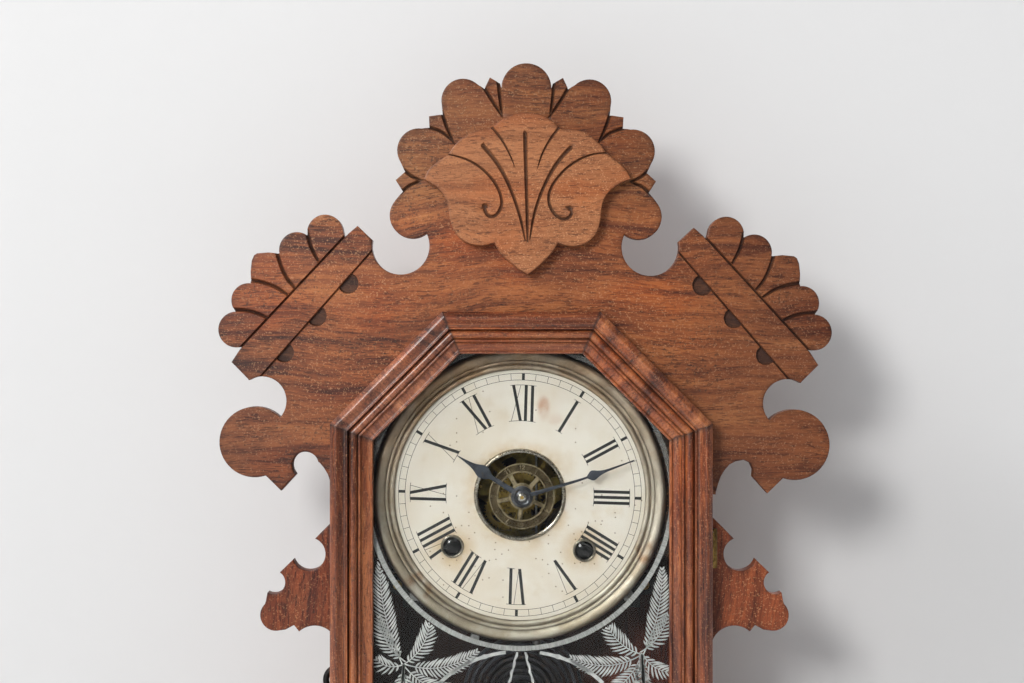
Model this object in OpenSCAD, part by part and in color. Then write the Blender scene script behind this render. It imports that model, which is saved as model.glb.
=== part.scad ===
// Shelf clock in a shaped wooden case, with an eight-day time, strike and alarm movement.
// X runs to the right, Y runs from front to back, Z runs up. Millimetres.
// The origin is at the middle of the case on the surface that it stands on.

/* [Case] */
// Width of the plinth deck
deck_w = 320; // [300:1:330]
// Depth of the plinth deck
deck_d = 120; // [120:1:124]
// Height of the plinth with its deck
base_h = 72; // [70:1:72]
// Distance from the middle to the outside of a case side
case_hw = 112.5; // [112.5:0.1:113]
// Thickness of a case side
side_t = 12; // [10:0.5:13]
// Thickness of the front boards
board_t = 9; // [8:0.5:9]
// Lean of the crest to the right, in degrees
crest_lean = 0.3; // [0:0.1:0.4]
// Thickness of the back board
back_t = 5; // [4:0.5:5]

/* [Door] */
// Half width of the door, and distance of its octagon's sides from the middle
door_a = 113.2; // [112.8:0.1:113.2]
// Place of the door's middle, right of the case's middle
door_cx = -1.1; // [-1.1:0.1:-0.9]
// Height of the door's top edge
door_top = 410.5; // [410:0.1:411]
// Place of the dial, right of the case's middle
dial_x = -1.8; // [-2:0.1:-1.6]
// Place of the movement, right of the case's middle
move_x = -0.6; // [-0.8:0.1:-0.4]
// Place of the movement, above the height of the dial's centre
move_z = -0.8; // [-0.8:0.1:-0.6]
// Turn of the dial and its paper, clockwise
dial_turn = 1.7; // [0:0.05:1.8]
// Height of the door's bottom edge
door_z0 = 78; // [76:0.5:80]
// Gap behind the closed door
door_gap = 0.2; // [0.1:0.05:0.3]
// Thickness of the glass
glass_t = 2; // [1.6:0.1:2]

/* [Dial] */
// Height of the dial's centre
dial_z = 300; // [300:0.1:300.2]
// Outer radius of the bezel
bezel_r = 88.9; // [88.6:0.1:88.9]
// Radius of the paper that shows
paper_r = 75.8; // [75:0.1:76]
// Radius of the open centre
center_r = 25.9; // [25.4:0.1:26]
// Radius of the alarm disc
alarm_r = 20.1; // [19:0.1:21]

/* [Hands] */
// Angle of the hour hand, clockwise from twelve
hour_at = -57.5; // [-180:0.5:180]
// Angle of the minute hand, clockwise from twelve
minute_at = 72; // [-180:0.1:180]
// Length of the hour hand
hour_len = 46.6; // [42:0.1:50]
// Length of the minute hand
minute_len = 71.3; // [66:0.1:73]

/* [Movement] */
// Distance of a winding arbor from the middle
wind_x = 40; // [40:0.1:40.2]
// Height of the winding arbors
wind_z = 268.5; // [268.4:0.1:268.6]
// Radial clearance of a pivot in its plate
pivot_c = 0.06; // [0.04:0.01:0.08]
// Number of coils that show in the gong
gong_turns = 7; // [5:1:7]

/* [Hidden] */
$fn = 64;
t22 = tan(22.5);
// front and back of the front boards
yf = -30;
yb = yf + board_t;
// back of the door, and the middle of the door's octagon
yd = yf - door_gap;
oct_z = door_top - door_a;
// right and left edges of the door
door_rx = door_a + door_cx;
door_lx = door_cx - door_a;
// height at which the crest's legs stand on the front frame
leg_z = 301;
// half width of the opening behind the door
open_w = 93.6;
// movement plates
fp0 = 5; fp1 = 6.5; bp0 = 42.5; bp1 = 44;
// wood colours and metals
walnut = "saddlebrown"; trim = "sienna"; bright = "goldenrod"; steel = "silver";

// ---- plane helpers: outlines are drawn in X and Z, and made thick along Y
module slab(y0, y1) translate([0, y1, 0]) rotate([90, 0, 0]) linear_extrude(height = y1 - y0) children();
module disc(r, y0, y1, x = 0, z = 0) translate([x, y1, z]) rotate([90, 0, 0]) cylinder(r = r, h = y1 - y0);
module turned(x, z) translate([x, 0, z]) rotate([90, 0, 0]) rotate_extrude() children();
module both() { children(); mirror([1, 0, 0]) children(); }
// moves what belongs to the dial, and what belongs to the movement
module dl() translate([dial_x, 0, 0]) children();
module mv() translate([move_x, 0, move_z]) children();
module bar(p, q, w, y0, y1) {
  d = q - p; n = [-d[1], d[0]] / norm(d) * w / 2;
  slab(y0, y1) polygon([p + n, p - n, q - n, q + n]);
}
function pol(r, a) = [r * cos(a), r * sin(a)];
function arc(c, r, a0, a1, n) = [for (i = [0:n]) c + pol(r, a0 + (a1 - a0) * i / n)];
function mir(p) = [for (i = [len(p) - 1:-1:0]) [-p[i][0], p[i][1]]];
// point at ra from a and rb from b, left of the way from a to b when s is 1
function tri(a, b, ra, rb, s) = let (d = norm(b - a), k = (ra * ra - rb * rb + d * d) / (2 * d),
  h = sqrt(ra * ra - k * k), u = (b - a) / d) a + u * k + s * h * [-u[1], u[0]];

// ---- wheelwork: module, teeth and pins give the pitch radii
m_main = 0.9; m_sec = 0.95; m_cen = 0.6; m_4th = 0.5; m_str = 0.6; m_h = 0.7; m_m = 0.65625;
C = [0, dial_z];
A = [wind_x, wind_z];
S = tri(A, C, 42 * m_main, 27 * m_sec, -1);
E = [9, 343];
F = tri(C, E, 42 * m_cen, 42 * m_4th, 1);
V = [9, 365];
As = [-wind_x, wind_z];
Ss = [-S[0], S[1]];
L = Ss + pol(34 * m_str, 100);
H = [-14, 236];
M = C + pol(22.5 * m_h, 225);
function ang(p, q) = atan2(q[1] - p[1], q[0] - p[0]);
// radius of a lantern pin and half width of the tooth that works it
function pin_r(m) = 0.2 * PI * m;
function half_w(m) = PI * m / 2 - pin_r(m) - 0.03 * PI * m - 0.02;
function lantern_tooth(m) = [[-pin_r(m) - 0.25 * m, 1.05 * half_w(m)], [0, half_w(m)],
  [0.45 * m, 0.78 * half_w(m)], [0.85 * m, 0.42 * half_w(m)]];
function leaf_tooth(m) = [[-1.15 * m, PI * m * 0.19 + 0.3 * m], [0, PI * m * 0.2], [0.75 * m, PI * m * 0.1]];
function pinion_leaf(m) = [[-1.05 * m, PI * m * 0.17], [-0.5 * m, PI * m * 0.2], [0, PI * m * 0.2], [0.75 * m, PI * m * 0.09]];
function toothed(n, r, t) = [for (i = [0:n - 1]) each concat(
  [for (p = t) pol(r + p[0], 360 * i / n - p[1] / (r + p[0]) * 180 / PI)],
  [for (j = [len(t) - 1:-1:0]) pol(r + t[j][0], 360 * i / n + t[j][1] / (r + t[j][0]) * 180 / PI)])];
// a wheel at p turned by a, with arms; y0 and y1 are its faces
module wheel(p, a, n, r, t, y0, y1, rim, arms, arm_w, hub) translate([p[0], 0, p[1]]) rotate([0, -a, 0]) {
  difference() { slab(y0, y1) polygon(toothed(n, r, t)); disc(rim, y0 - 1, y1 + 1); }
  for (i = [0:arms - 1]) bar(pol(hub * 0.5, 360 * (i + 0.5) / arms), pol(rim + 0.6, 360 * (i + 0.5) / arms), arm_w, y0, y1);
  disc(hub, y0, y1);
}
module lantern(p, a, n, m, y0, y1) translate([p[0], 0, p[1]]) rotate([0, -a, 0]) {
  r = n * m / 2; q = pin_r(m);
  for (i = [0:n - 1]) disc(q, y0 + 0.4, y1 - 0.4, r * cos(360 * (i + 0.5) / n), r * sin(360 * (i + 0.5) / n), $fn = 24);
  disc(r + q + 0.3, y0, y0 + 0.9);
  disc(r + q + 0.3, y1 - 0.9, y1);
}
module arbor(p, r = 1.25, rp = 0.8) {
  disc(r, fp1 + 0.2, bp0 - 0.2, p[0], p[1], $fn = 32);
  disc(rp, fp0 - 0.4, bp1 + 0.4, p[0], p[1], $fn = 32);
}
module spiral(c, r0, r1, turns, a0, w, y0, y1, step) {
  n = floor(turns * 360 / step);
  slab(y0, y1) translate(c) polygon(concat(
    [for (i = [0:n]) pol(r0 + (r1 - r0) * i / n + w / 2, a0 + i * step)],
    [for (i = [n:-1:0]) pol(r0 + (r1 - r0) * i / n - w / 2, a0 + i * step)]));
}

// ---- case
arch = [for (i = [0:24]) [110 - 220 * i / 24, 14 + 12 * sin(180 * i / 24)]];
module base_front() color(walnut) difference() {
  slab(-52, -42) polygon(concat([[-150, 0], [-150, base_h - 10], [150, base_h - 10], [150, 0], [122, 0]],
    arc([116, 8], 8, -60, 90, 8), arch, arc([-116, 8], 8, 90, 240, 8), [[-122, 0]]));
  // cut lines along the plinth
  for (z = [36, 41]) translate([-140, -52.8, z]) rotate([45, 0, 0]) cube([280, 1.8, 1.8]);
  for (s = [-1, 1]) disc(9, -53, -50.5, s * 124, 24);
}
module base_rails() color(walnut) {
  for (s = [-1, 1]) difference() {
    translate([s * 145 - 5, -42, 0]) cube([10, 92, base_h - 10]);
    translate([s * 145 - 6, 4, -16]) rotate([0, 90, 0]) cylinder(r = 34, h = 12);
  }
  difference() {
    translate([-150, 50, 0]) cube([300, 8, base_h - 10]);
    translate([-110, 49, -1]) cube([220, 10, 15]);
  }
}
module base_deck() color(walnut) difference() {
  translate([-deck_w / 2, -deck_d / 2, base_h - 10]) cube([deck_w, deck_d, 10]);
  translate([-deck_w, -deck_d / 2, base_h + 0.5]) rotate([0, 90, 0]) cylinder(r = 4.5, h = 2 * deck_w);
  for (s = [-1, 1]) translate([s * deck_w / 2, 100, base_h + 0.5]) rotate([90, 0, 0]) cylinder(r = 4.5, h = 200);
}
module case_sides() color(walnut) difference() {
  both() translate([case_hw - side_t, yb, base_h]) cube([side_t, 54 - yb, 404 - base_h]);
  translate([-case_hw - 1, -14, 172]) rotate([0, 90, 0]) cylinder(r = 1.2, h = 8.8, $fn = 32);
}
module case_top() color(walnut) translate([-case_hw, yb, 404]) cube([2 * case_hw, 54 - yb, 10]);
module back_board() color(walnut) difference() {
  translate([-case_hw, 54, base_h]) cube([2 * case_hw, back_t, 414 - base_h]);
  // vent holes behind the gong
  for (x = [-30, 0, 30]) disc(4, 53, 60, x, 96);
}

// shaped crest board: right half of its outline, lobes and cut-outs
crest_pts = [[0, 545], [15, 545], [15.9, 547.9], [22, 551.3], [25.1, 544.6], [31.8, 548.6], [38, 537.5], [50.9, 536.6], [50.2, 529],
  [58.4, 527.8], [58.1, 521.2], [62.6, 520.5], [64.2, 507.4], [76.6, 503], [72.6, 494.4], [78.2, 489.4], [73.9, 482.7],
  [78.4, 477.2], [68.1, 468.2], [59.8, 457.6], [75, 450], [90.5, 451.9], [101, 461.8], [108.7, 455], [110, 460], [120.4, 457.7],
  [130.8, 456.8], [137.3, 447.2], [148.6, 445], [154.3, 445.6], [161.2, 445], [163, 443.8], [164.4, 440.4], [165, 434.2], [164.8, 429],
  [166.2, 416.8], [173.4, 399.2], [170.3, 388.6], [176.2, 379.6], [166.2, 369.6], [157.8, 356.4], [162, 331.7], [155.2, 311.5],
  [146, 302.5], [137.3, 312.2], [137.6, 316.5], [135.8, 320.6], [131.5, 322.5], [126.8, 321.6], [123, 319.5],
  [120.3, 316.3], [118, 312.5], [116.4, 308], [115.1, 303], [114.9, 297], [open_w, 297],
  [open_w, oct_z + open_w * t22], [open_w * t22, oct_z + open_w], [0, oct_z + open_w]];
crest_lobes = [[0, 545, 15], [38, 537.5, 13], [64.2, 507.4, 13.2], [68.1, 468.2, 13.6],
  [120.4, 457.7, 10.8], [137.3, 447.2, 10.7], [166.2, 416.8, 10.3], [173.4, 399.2, 10.8], [162, 331.7, 21.2]];
crest_cuts = [[75, 450, 17.3], [157.8, 356.4, 14.7]];
module lean() translate([0.9, 0, 330]) rotate([0, crest_lean, 0]) translate([0, 0, -330]) children();
module crest_board() color(walnut) difference() {
  lean() {
    difference() {
      union() {
        slab(yf, yb) polygon(concat(crest_pts, mir(crest_pts)));
        both() for (l = crest_lobes) disc(l[2], yf, yb, l[0], l[1]);
      }
      both() for (l = crest_cuts) disc(l[2], yf - 1, yb + 1, l[0], l[1]);
      // the left opening is cut a little higher
      disc(8, yf - 1, yb + 1, -131.5, 318);
    }
    // these lobes stand whole above the round cuts
    both() for (i = [3, 8]) disc(crest_lobes[i][2], yf, yb, crest_lobes[i][0], crest_lobes[i][1]);
  }
  // thumb gouges below the slanting bands
  lean() both() for (g = [[106.4, 427.3], [125.3, 407.7], [144.6, 385.6]]) difference() {
    disc(6.1, yf - 1, yf + 3, g[0], g[1]);
    bar([97.5, 449.8], [161.5, 376.8], 12, yf - 2, yf + 4);
  }
  // the legs are cut level
  translate([-130, yf - 1, 280]) cube([260, board_t + 2, leg_z - 280]);
}
tulip = [[0, 433.7], [6, 439.5], [13, 444.8], [19.7, 451.8], [25.5, 449.8], [31.5, 450.7], [37.5, 454], [42, 458.7],
  [44.8, 464.6], [46, 471], [47.2, 477.2], [50, 482.9], [55.5, 487.6], [62, 491.3], [56.7, 498.3], [51.6, 501],
  [47, 504.6], [45.2, 509.6], [42, 513], [37.8, 516.8], [33, 519], [26.4, 520.6], [20, 521], [17.8, 525],
  [14.4, 527.6], [7.5, 530], [0, 530.5]];
module crest_ornament() color(trim) translate([2.3, 0, 0]) slab(yf - 9, yf) polygon(concat(tulip, mir(tulip)));
module leaf_seats() for (z = [110.5, 269.5]) translate([99, yf - 0.5, z - 10.5]) cube([15.9, 1.5, 21]);
module case_leaf_holes() for (z = [110.5, 269.5]) for (s = [-6, 6]) disc(1.1, yf - 1, yf + 6.5, 104, z + s, $fn = 32);
module front_frame() color(walnut) difference() {
  union() {
    both() translate([open_w, yf, base_h]) cube([case_hw - open_w, board_t, leg_z - base_h]);
    translate([-open_w, yf, base_h]) cube([2 * open_w, board_t, 16]);
  }
  leaf_seats();
  case_leaf_holes();
}
ear = [[110, 290.5], [125.8, 274.5], [129.5, 265.3], [138.5, 262.5], [147.4, 253.8], [150.8, 248.3], [154.4, 242],
  [155.3, 237], [157, 232], [149.3, 228.6], [149.3, 219.2], [143.6, 219.9], [138.4, 222.6], [135.4, 218.9],
  [126, 208.2], [110, 208.2]];
module ears() color(walnut) difference() {
  translate([0.9, 0, 0]) both() difference() {
    union() {
      slab(yf, yb) polygon(ear);
      disc(9.4, yf, yb, 149.3, 228.6);
    }
    disc(10, yf - 1, yb + 1, 129.5, 265.3);
    disc(7.1, yf - 1, yb + 1, 150.8, 248.3);
    disc(14.1, yf - 1, yb + 1, 126, 208.2);
  }
  translate([-case_hw, yf - 1, 200]) cube([2 * case_hw, board_t + 2, 100]);
  leaf_seats();
}
nails = [for (s = [-1, 1]) for (a = [-16, 16]) C + [s * 87.2 * cos(a), 87.2 * sin(a)]];
feet = [[-80, 236], [80, 236], [-61, 368], [61, 368]];
module inner_blocks() color(walnut) difference() {
  union() {
    both() translate([77, -19.7, 262]) cube([case_hw - side_t - 77, 18, 76]);
    translate([-88, bp1, 229]) cube([176, 54 - bp1, 14]);
    translate([-70, bp1, 361]) cube([140, 54 - bp1, 14]);
  }
  dl() for (p = nails) disc(0.7, -20, -12, p[0], p[1], $fn = 24);
  mv() for (p = feet) disc(1.3, bp1 - 1, bp1 + 8, p[0], p[1], $fn = 24);
  // room for the ends of the pillars and of the hammer's arbor
  mv() for (p = concat(posts, [H])) disc(3, bp1 - 1, bp1 + 1.5, p[0], p[1], $fn = 32);
}

// ---- door: u is counted inwards from the outer edge, h forwards from the back
moulding = concat([[0, 0], [0, 13.5], [0.3, 13.9], [2.2, 15.6], [2.8, 16.1], [3.6, 16.3], [4.4, 16.15], [5.1, 15.6], [5.9, 14.8],
  [6.7, 14], [7.5, 13.4], [8.3, 13.15], [9, 13.25], [9.3, 13.5], [9.45, 14.1], [10.35, 14.1], [10.55, 10.6], [11, 10.3]],
  arc([13.4, 10.7], 2.4, 175, 5, 10), [[16, 10.2], [16.4, 10], [16.6, 11], [17.7, 11], [18, 10], [18.7, 8.9], [19.7, 8.1],
  [21.1, 7.5], [22.5, 7.2], [23.2, 7.3], [23.5, 7.9], [24.4, 7.9], [24.9, 7.4], [25, 4], [19.5, 4], [19.5, 0]]);
strip = [[19.7, 0.1], [19.7, 2], [23.9, 2], [23.9, 0.1]];
// a bar of the door; x, z is the middle of its outer edge, k0 and k1 the slopes of its mitres
module door_bar(prof, x, z, a, len, k0, k1) translate([x + door_cx, yd, z]) rotate([0, a, 0]) rotate([90, 0, 0]) intersection() {
  translate([-len / 2, 0, 0]) rotate([90, 0, 90]) linear_extrude(height = len) polygon(prof);
  translate([0, 0, -1]) linear_extrude(height = 30) polygon([[-len / 2, 0], [len / 2, 0], [len / 2 - 26 * k1, 26], [-len / 2 + 26 * k0, 26]]);
}
stile_len = oct_z + door_a * t22 - door_z0;
stile_mid = (oct_z + door_a * t22 + door_z0) / 2;
oct_side = 2 * door_a * t22;
// g shortens a bar, so that loose strips stay apart at the mitres
module left_bar(p, g = 0) door_bar(p, -door_a, stile_mid, 90, stile_len - g, t22, 1);
module right_bar(p, g = 0) door_bar(p, door_a, stile_mid, -90, stile_len - g, 1, t22);
module top_bar(p, g = 0) door_bar(p, 0, door_top, 180, oct_side - g, t22, t22);
module low_bar(p, g = 0) door_bar(p, 0, door_z0, 0, 2 * door_a - g, 1, 1);
module diagonal_bars(p, g = 0) for (s = [-1, 1]) door_bar(p, s * door_a * (1 + t22) / 2, oct_z + door_a * (1 + t22) / 2, -135 * s, oct_side - g, t22, t22);
module door_side_holes() for (z = [110.5, 269.5]) for (s = [-7, 7]) translate([door_rx - 6, yd - 9.8, z + s]) rotate([0, 90, 0]) cylinder(r = 1, h = 10, $fn = 32);
module door_stile_left() color(trim) difference() {
  left_bar(moulding);
  translate([door_lx - 1, -40, 172]) rotate([0, 90, 0]) cylinder(r = 1.3, h = 7, $fn = 32);
}
module door_stile_right() color(trim) difference() { right_bar(moulding); door_side_holes(); }
module door_rail_bottom() color(trim) low_bar(moulding);
module door_rail_top() color(trim) top_bar(moulding);
module door_diagonals() color(trim) diagonal_bars(moulding);
function door_edge(u) = let (a = door_a - u) [[a * t22, oct_z + a], [a, oct_z + a * t22], [a, door_z0 + u],
  [-a, door_z0 + u], [-a, oct_z + a * t22], [-a * t22, oct_z + a]];
module door_glass() color("lightblue", 0.4) translate([door_cx, 0, 0]) slab(yd - 4, yd - 4 + glass_t) polygon(door_edge(19.8));
module glazing_strips() color(walnut) { left_bar(strip, 0.3); right_bar(strip, 0.3); top_bar(strip, 0.3); low_bar(strip, 0.3); diagonal_bars(strip, 0.3); }

// ---- hinges, their axis at hx, hy
hx = 114.1; hy = -34;
module knuckle(z0, z1) translate([hx, hy, z0]) cylinder(r = 1.95, h = z1 - z0, $fn = 48);
module hinge_leaves_door() color(bright) for (z = [110.5, 269.5]) difference() {
  union() {
    knuckle(z - 3.5, z + 3.5);
    translate([door_rx, -43.5, z - 10.5]) cube([0.8, 6.7, 21]);
    translate([door_rx, -37.5, z - 3.5]) cube([0.8, 3.5, 7]);
  }
  translate([hx, hy, z - 20]) cylinder(r = 1.27, h = 40, $fn = 48);
  for (s = [-7, 7]) translate([door_rx - 1, yd - 9.8, z + s]) rotate([0, 90, 0]) cylinder(r = 1, h = 4, $fn = 32);
}
module hinge_leaves_case() color(bright) for (z = [110.5, 269.5]) difference() {
  union() {
    for (s = [-10.5, 3.65]) {
      knuckle(z + s, z + s + 6.85);
      translate([hx - 1, hy, z + s]) cube([1.8, 5, 6.85]);
    }
    translate([99, yf, z - 10.5]) cube([15.9, 1, 21]);
  }
  translate([hx, hy, z - 20]) cylinder(r = 1.2, h = 40, $fn = 48);
  for (s = [-6, 6]) disc(1.1, yf - 1, yf + 2, 104, z + s, $fn = 32);
}
module hinge_pins() color(bright) for (z = [110.5, 269.5]) translate([hx, hy, 0]) {
  translate([0, 0, z - 10.5]) cylinder(r = 1.2, h = 21, $fn = 48);
  translate([0, 0, z + 10.5]) cylinder(r = 1.9, h = 1.2, $fn = 32);
  translate([0, 0, z - 11.7]) cylinder(r = 1.9, h = 1.2, $fn = 32);
}
module door_screws() color(bright) {
  for (z = [110.5, 269.5]) for (s = [-7, 7]) translate([0, yd - 9.8, z + s]) rotate([0, 90, 0]) difference() {
    union() {
      translate([0, 0, door_rx - 6]) cylinder(r = 1, h = 6.8, $fn = 32);
      translate([0, 0, door_rx + 0.8]) cylinder(r = 1.9, h = 0.9, $fn = 32);
    }
    translate([-3, -0.25, door_rx + 1.2]) cube([6, 0.5, 2]);
  }
  // pin that the latch drops over
  translate([door_lx - 4.5, -40, 172]) rotate([0, 90, 0]) cylinder(r = 1.3, h = 10.5, $fn = 32);
}
module screw_head(r, x, z, y) difference() {
  disc(r, y - 1.1, y, x, z, $fn = 32);
  translate([x - r - 1, y - 1.6, z - 0.25]) cube([2 * r + 2, 1.1, 0.5]);
}
module case_screws() color(bright) {
  // screws of the hinges, sunk in the leaves
  for (z = [110.5, 269.5]) for (s = [-6, 6]) difference() {
    disc(1.1, yf, yf + 6.5, 104, z + s, $fn = 32);
    translate([102, yf - 1, z + s - 0.2]) cube([4, 1.4, 0.4]);
  }
  // nails of the dial
  dl() for (p = nails) { disc(1.5, -22, -21.3, p[0], p[1], $fn = 24); disc(0.7, -21.3, -12, p[0], p[1], $fn = 24); }
  // screws of the movement
  mv() for (p = feet) { disc(1.3, bp0, bp1 + 8, p[0], p[1], $fn = 24); screw_head(3, p[0], p[1], bp0); }
  // pivot screw of the latch
  translate([0, -14, 172]) rotate([0, 90, 0]) {
    translate([0, 0, -case_hw - 4.8]) cylinder(r = 1.2, h = 12.6, $fn = 32);
    translate([0, 0, -case_hw - 6]) cylinder(r = 2.8, h = 1.2, $fn = 32);
  }
}
// cast hook on the left side of the case, raised clear of its pin
module latch_hook() color("black") translate([-case_hw, -14, 172]) rotate([-12, 0, 0]) {
  difference() {
    union() {
      translate([-4.8, -28.5, -3.4]) cube([2.7, 29, 7.4]);
      translate([-4.8, 0, 0]) rotate([0, 90, 0]) cylinder(r = 4.6, h = 2.7, $fn = 48);
      translate([-4.8, 0, 0]) rotate([0, 90, 0]) cylinder(r = 3.3, h = 4.7, $fn = 48);
      translate([-4.8, -32.5, -3.4]) cube([2.7, 6, 5.4]);
      translate([-4.8, -31, 1.5]) rotate([0, 90, 0]) cylinder(r = 4, h = 2.7, $fn = 48);
      translate([-3.45, -14.8, 3]) cylinder(r = 1.35, h = 6, $fn = 32);
    }
    translate([-6, 0, 0]) rotate([0, 90, 0]) cylinder(r = 1.28, h = 8, $fn = 48);
    translate([-6, -26, 0]) rotate([0, 90, 0]) cylinder(r = 1.75, h = 6, $fn = 48);
    translate([-6, -27.75, -6]) cube([6, 3.5, 6]);
  }
  // curled finger piece, close beside the door
  intersection() {
    translate([1.2, -14.8, 14.3]) rotate([90, 0, 0]) rotate([0, 0, 90]) rotate_extrude(angle = 180) translate([7.4, 0]) circle(r = 1.9, $fn = 32);
    translate([-22, -20, 0]) cube([20, 12, 30]);
  }
}

// ---- dial
// winding holes, turned with the dial
holes = [for (s = [-1, 1]) C + [s * 40 * cos(dial_turn) - 32.4 * sin(dial_turn), -s * 40 * sin(dial_turn) - 32.4 * cos(dial_turn)]];
module dial_pan() color(steel) difference() {
  disc(bezel_r - 0.5, -20.5, -19.7, C[0], C[1], $fn = 96);
  disc(center_r, -21, -19, C[0], C[1]);
  for (h = holes) disc(6, -21, -19, h[0], h[1]);
  for (p = nails) disc(0.7, -21, -19, p[0], p[1], $fn = 24);
}
module dial_paper() color("ivory") difference() {
  disc(77.5, -20.8, -20.5, C[0], C[1], $fn = 96);
  disc(center_r, -21, -20, C[0], C[1]);
  for (h = holes) disc(6, -21, -20, h[0], h[1]);
}
module dial_bezel() color("gray") difference() {
  turned(C[0], C[1]) polygon(concat([[paper_r, 20.8], [paper_r, 21.6]], arc([77.5, 21.7], 1.6, 165, 20, 8),
    [[79.3, 22.2], [79.6, 23.3], [80.4, 23.8], [81.3, 23.7], [81.7, 24.6], [82.6, 25.9], [83.7, 26.7], [84.8, 26.9], [85.9, 26.6], [86.9, 25.8], [87.6, 24.8],
    [88.3, 23], [bezel_r, 20.5], [87.9, 20.5], [87.4, 22.8], [86.7, 24.4], [85.8, 25.5], [84.8, 25.9], [83.9, 25.7], [83.1, 25], [82.3, 23.6], [81.6, 22.7],
    [80.5, 22.8], [79.9, 21.6], [79.2, 20.8], [77.6, 20.8]]), $fn = 96);
  for (p = nails) disc(0.7, -30, -19, p[0], p[1], $fn = 24);
  for (p = nails) disc(1.6, -30, -21.3, p[0], p[1], $fn = 24);
}
module dial_center_ring() color(steel) turned(C[0], C[1])
  polygon([[center_r - 0.6, 19.7], [center_r - 0.6, 21.6], [center_r + 0.4, 22.3], [28, 21.6], [28, 20.8], [center_r, 20.8], [center_r, 19.7]], $fn = 96);
module winding_grommets() color(bright) for (h = holes) turned(h[0], h[1])
  polygon([[5.4, 19.7], [5.4, 21.4], [6.2, 21.9], [7.1, 21.4], [7.1, 20.8], [6, 20.8], [6, 19.7]]);

// ---- movement frame
module plate(y0, y1) {
  bar([-74, 236], [74, 236], 16, y0, y1);
  both() bar([66, 236], [48, 368], 13, y0, y1);
  bar([-54, 368], [54, 368], 13, y0, y1);
  bar([-64, wind_z], [64, wind_z], 15, y0, y1);
  bar([-58, 303.4], [58, 303.4], 11, y0, y1);
  bar([0, 236], C, 12, y0, y1);
  bar(C, E, 13, y0, y1);
  bar(E, V, 13, y0, y1);
  bar([L[0], 303.4], L, 9, y0, y1);
  disc(5, y0, y1, F[0], F[1]);
  disc(4.5, y0, y1, L[0], L[1]);
}
module plate_holes(y0, y1, rw) {
  for (p = [S, Ss, F, L, H]) disc(0.8 + pivot_c, y0 - 1, y1 + 1, p[0], p[1], $fn = 32);
  for (p = [A, As]) disc(rw + pivot_c, y0 - 1, y1 + 1, p[0], p[1], $fn = 48);
  for (s = [-1, 1]) { disc(1.8, y0 - 1, y1 + 1, s * 66, 236, $fn = 32); disc(1.8, y0 - 1, y1 + 1, s * 48, 368, $fn = 32); }
}
module front_plate() color(bright) {
  difference() {
    union() { plate(fp0, fp1); bar(C, M, 9, fp0, fp1); disc(4.5, fp0, fp1, M[0], M[1]); }
    plate_holes(fp0, fp1, 3.5);
    disc(1.1 + pivot_c, fp0 - 1, fp1 + 1, C[0], C[1], $fn = 48);
    disc(1.0 + pivot_c, fp0 - 1, fp1 + 1, E[0], E[1], $fn = 48);
  }
  // fixed pins of the verge and of the motion wheel
  disc(0.8, -4.1, fp0 + 0.5, V[0], V[1], $fn = 48);
  disc(1.0, -3, fp0 + 0.5, M[0], M[1], $fn = 48);
}
module back_plate() color(bright) difference() {
  union() {
    plate(bp0, bp1);
    bar([-80, 236], [80, 236], 13, bp0, bp1);
    bar([-61, 368], [61, 368], 13, bp0, bp1);
    for (p = feet) disc(6.5, bp0, bp1, p[0], p[1]);
  }
  plate_holes(bp0, bp1, 1.6);
  for (p = [C, E]) disc(0.8 + pivot_c, bp0 - 1, bp1 + 1, p[0], p[1], $fn = 48);
  for (p = feet) disc(1.3, bp0 - 1, bp1 + 1, p[0], p[1], $fn = 24);
}
posts = [[-66, 236], [66, 236], [-48, 368], [48, 368]];
module pillars() color(steel) for (p = posts) {
  disc(3, fp1, bp0, p[0], p[1], $fn = 32);
  disc(1.8, fp0 - 2.6, bp1 + 0.6, p[0], p[1], $fn = 32);
}
module pillar_nuts() color(steel) for (p = posts) difference() {
  disc(3.9, fp0 - 2, fp0, p[0], p[1], $fn = 6);
  disc(1.8, fp0 - 3, fp0 + 1, p[0], p[1], $fn = 32);
}
module mainsprings() color("dimgray") both() difference() {
  spr_a = ang(A, [66, 236]) - acos(26.7 / norm([66, 236] - A));
  union() {
    spiral(A, 4.9, 26.7, 8, spr_a, 0.7, 8.5, 26, 15);
    bar(A + pol(26.7, spr_a) - 0.4 * pol(1, spr_a + 90), [66, 236], 0.7, 8.5, 26);
  }
  disc(3, 0, 40, 66, 236, $fn = 32);
}

// ---- going train
module main_wheel(p, q) color(bright) difference() {
  union() {
    wheel(p, ang(p, q), 72, 36 * m_main, lantern_tooth(m_main), 28, 30, 28.4, 6, 4.5, 11);
    // click and its rivet
    translate([p[0], 0, p[1]]) rotate([0, 35, 0]) { disc(1.6, 30, 32.4, 13.4, 0, $fn = 32); bar([13.4, 0], [9.3, 7], 2, 30, 31.8); }
  }
  disc(3.5 + pivot_c, 20, 40, p[0], p[1], $fn = 48);
}
module winding_arbor(p) color(steel) {
  disc(3.5, fp0 - 2.5, 32.2, p[0], p[1], $fn = 48);
  disc(4.4, 27, 27.9, p[0], p[1], $fn = 48);
  disc(1.6, 32, bp1 + 0.8, p[0], p[1], $fn = 48);
  disc(3.2, 32, bp0 - 0.3, p[0], p[1], $fn = 48);
  translate([p[0] - 2.1, -14, p[1] - 2.1]) cube([4.2, 18, 4.2]);
  // ratchet wheel
  translate([p[0], 0, p[1]]) slab(30.2, 31.8) polygon([for (i = [0:17]) each [pol(7.3, 20 * i), pol(8.8, 20 * i + 1)]]);
}
module time_main_wheel() main_wheel(A, S);
module time_winding_arbor() winding_arbor(A);
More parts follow.
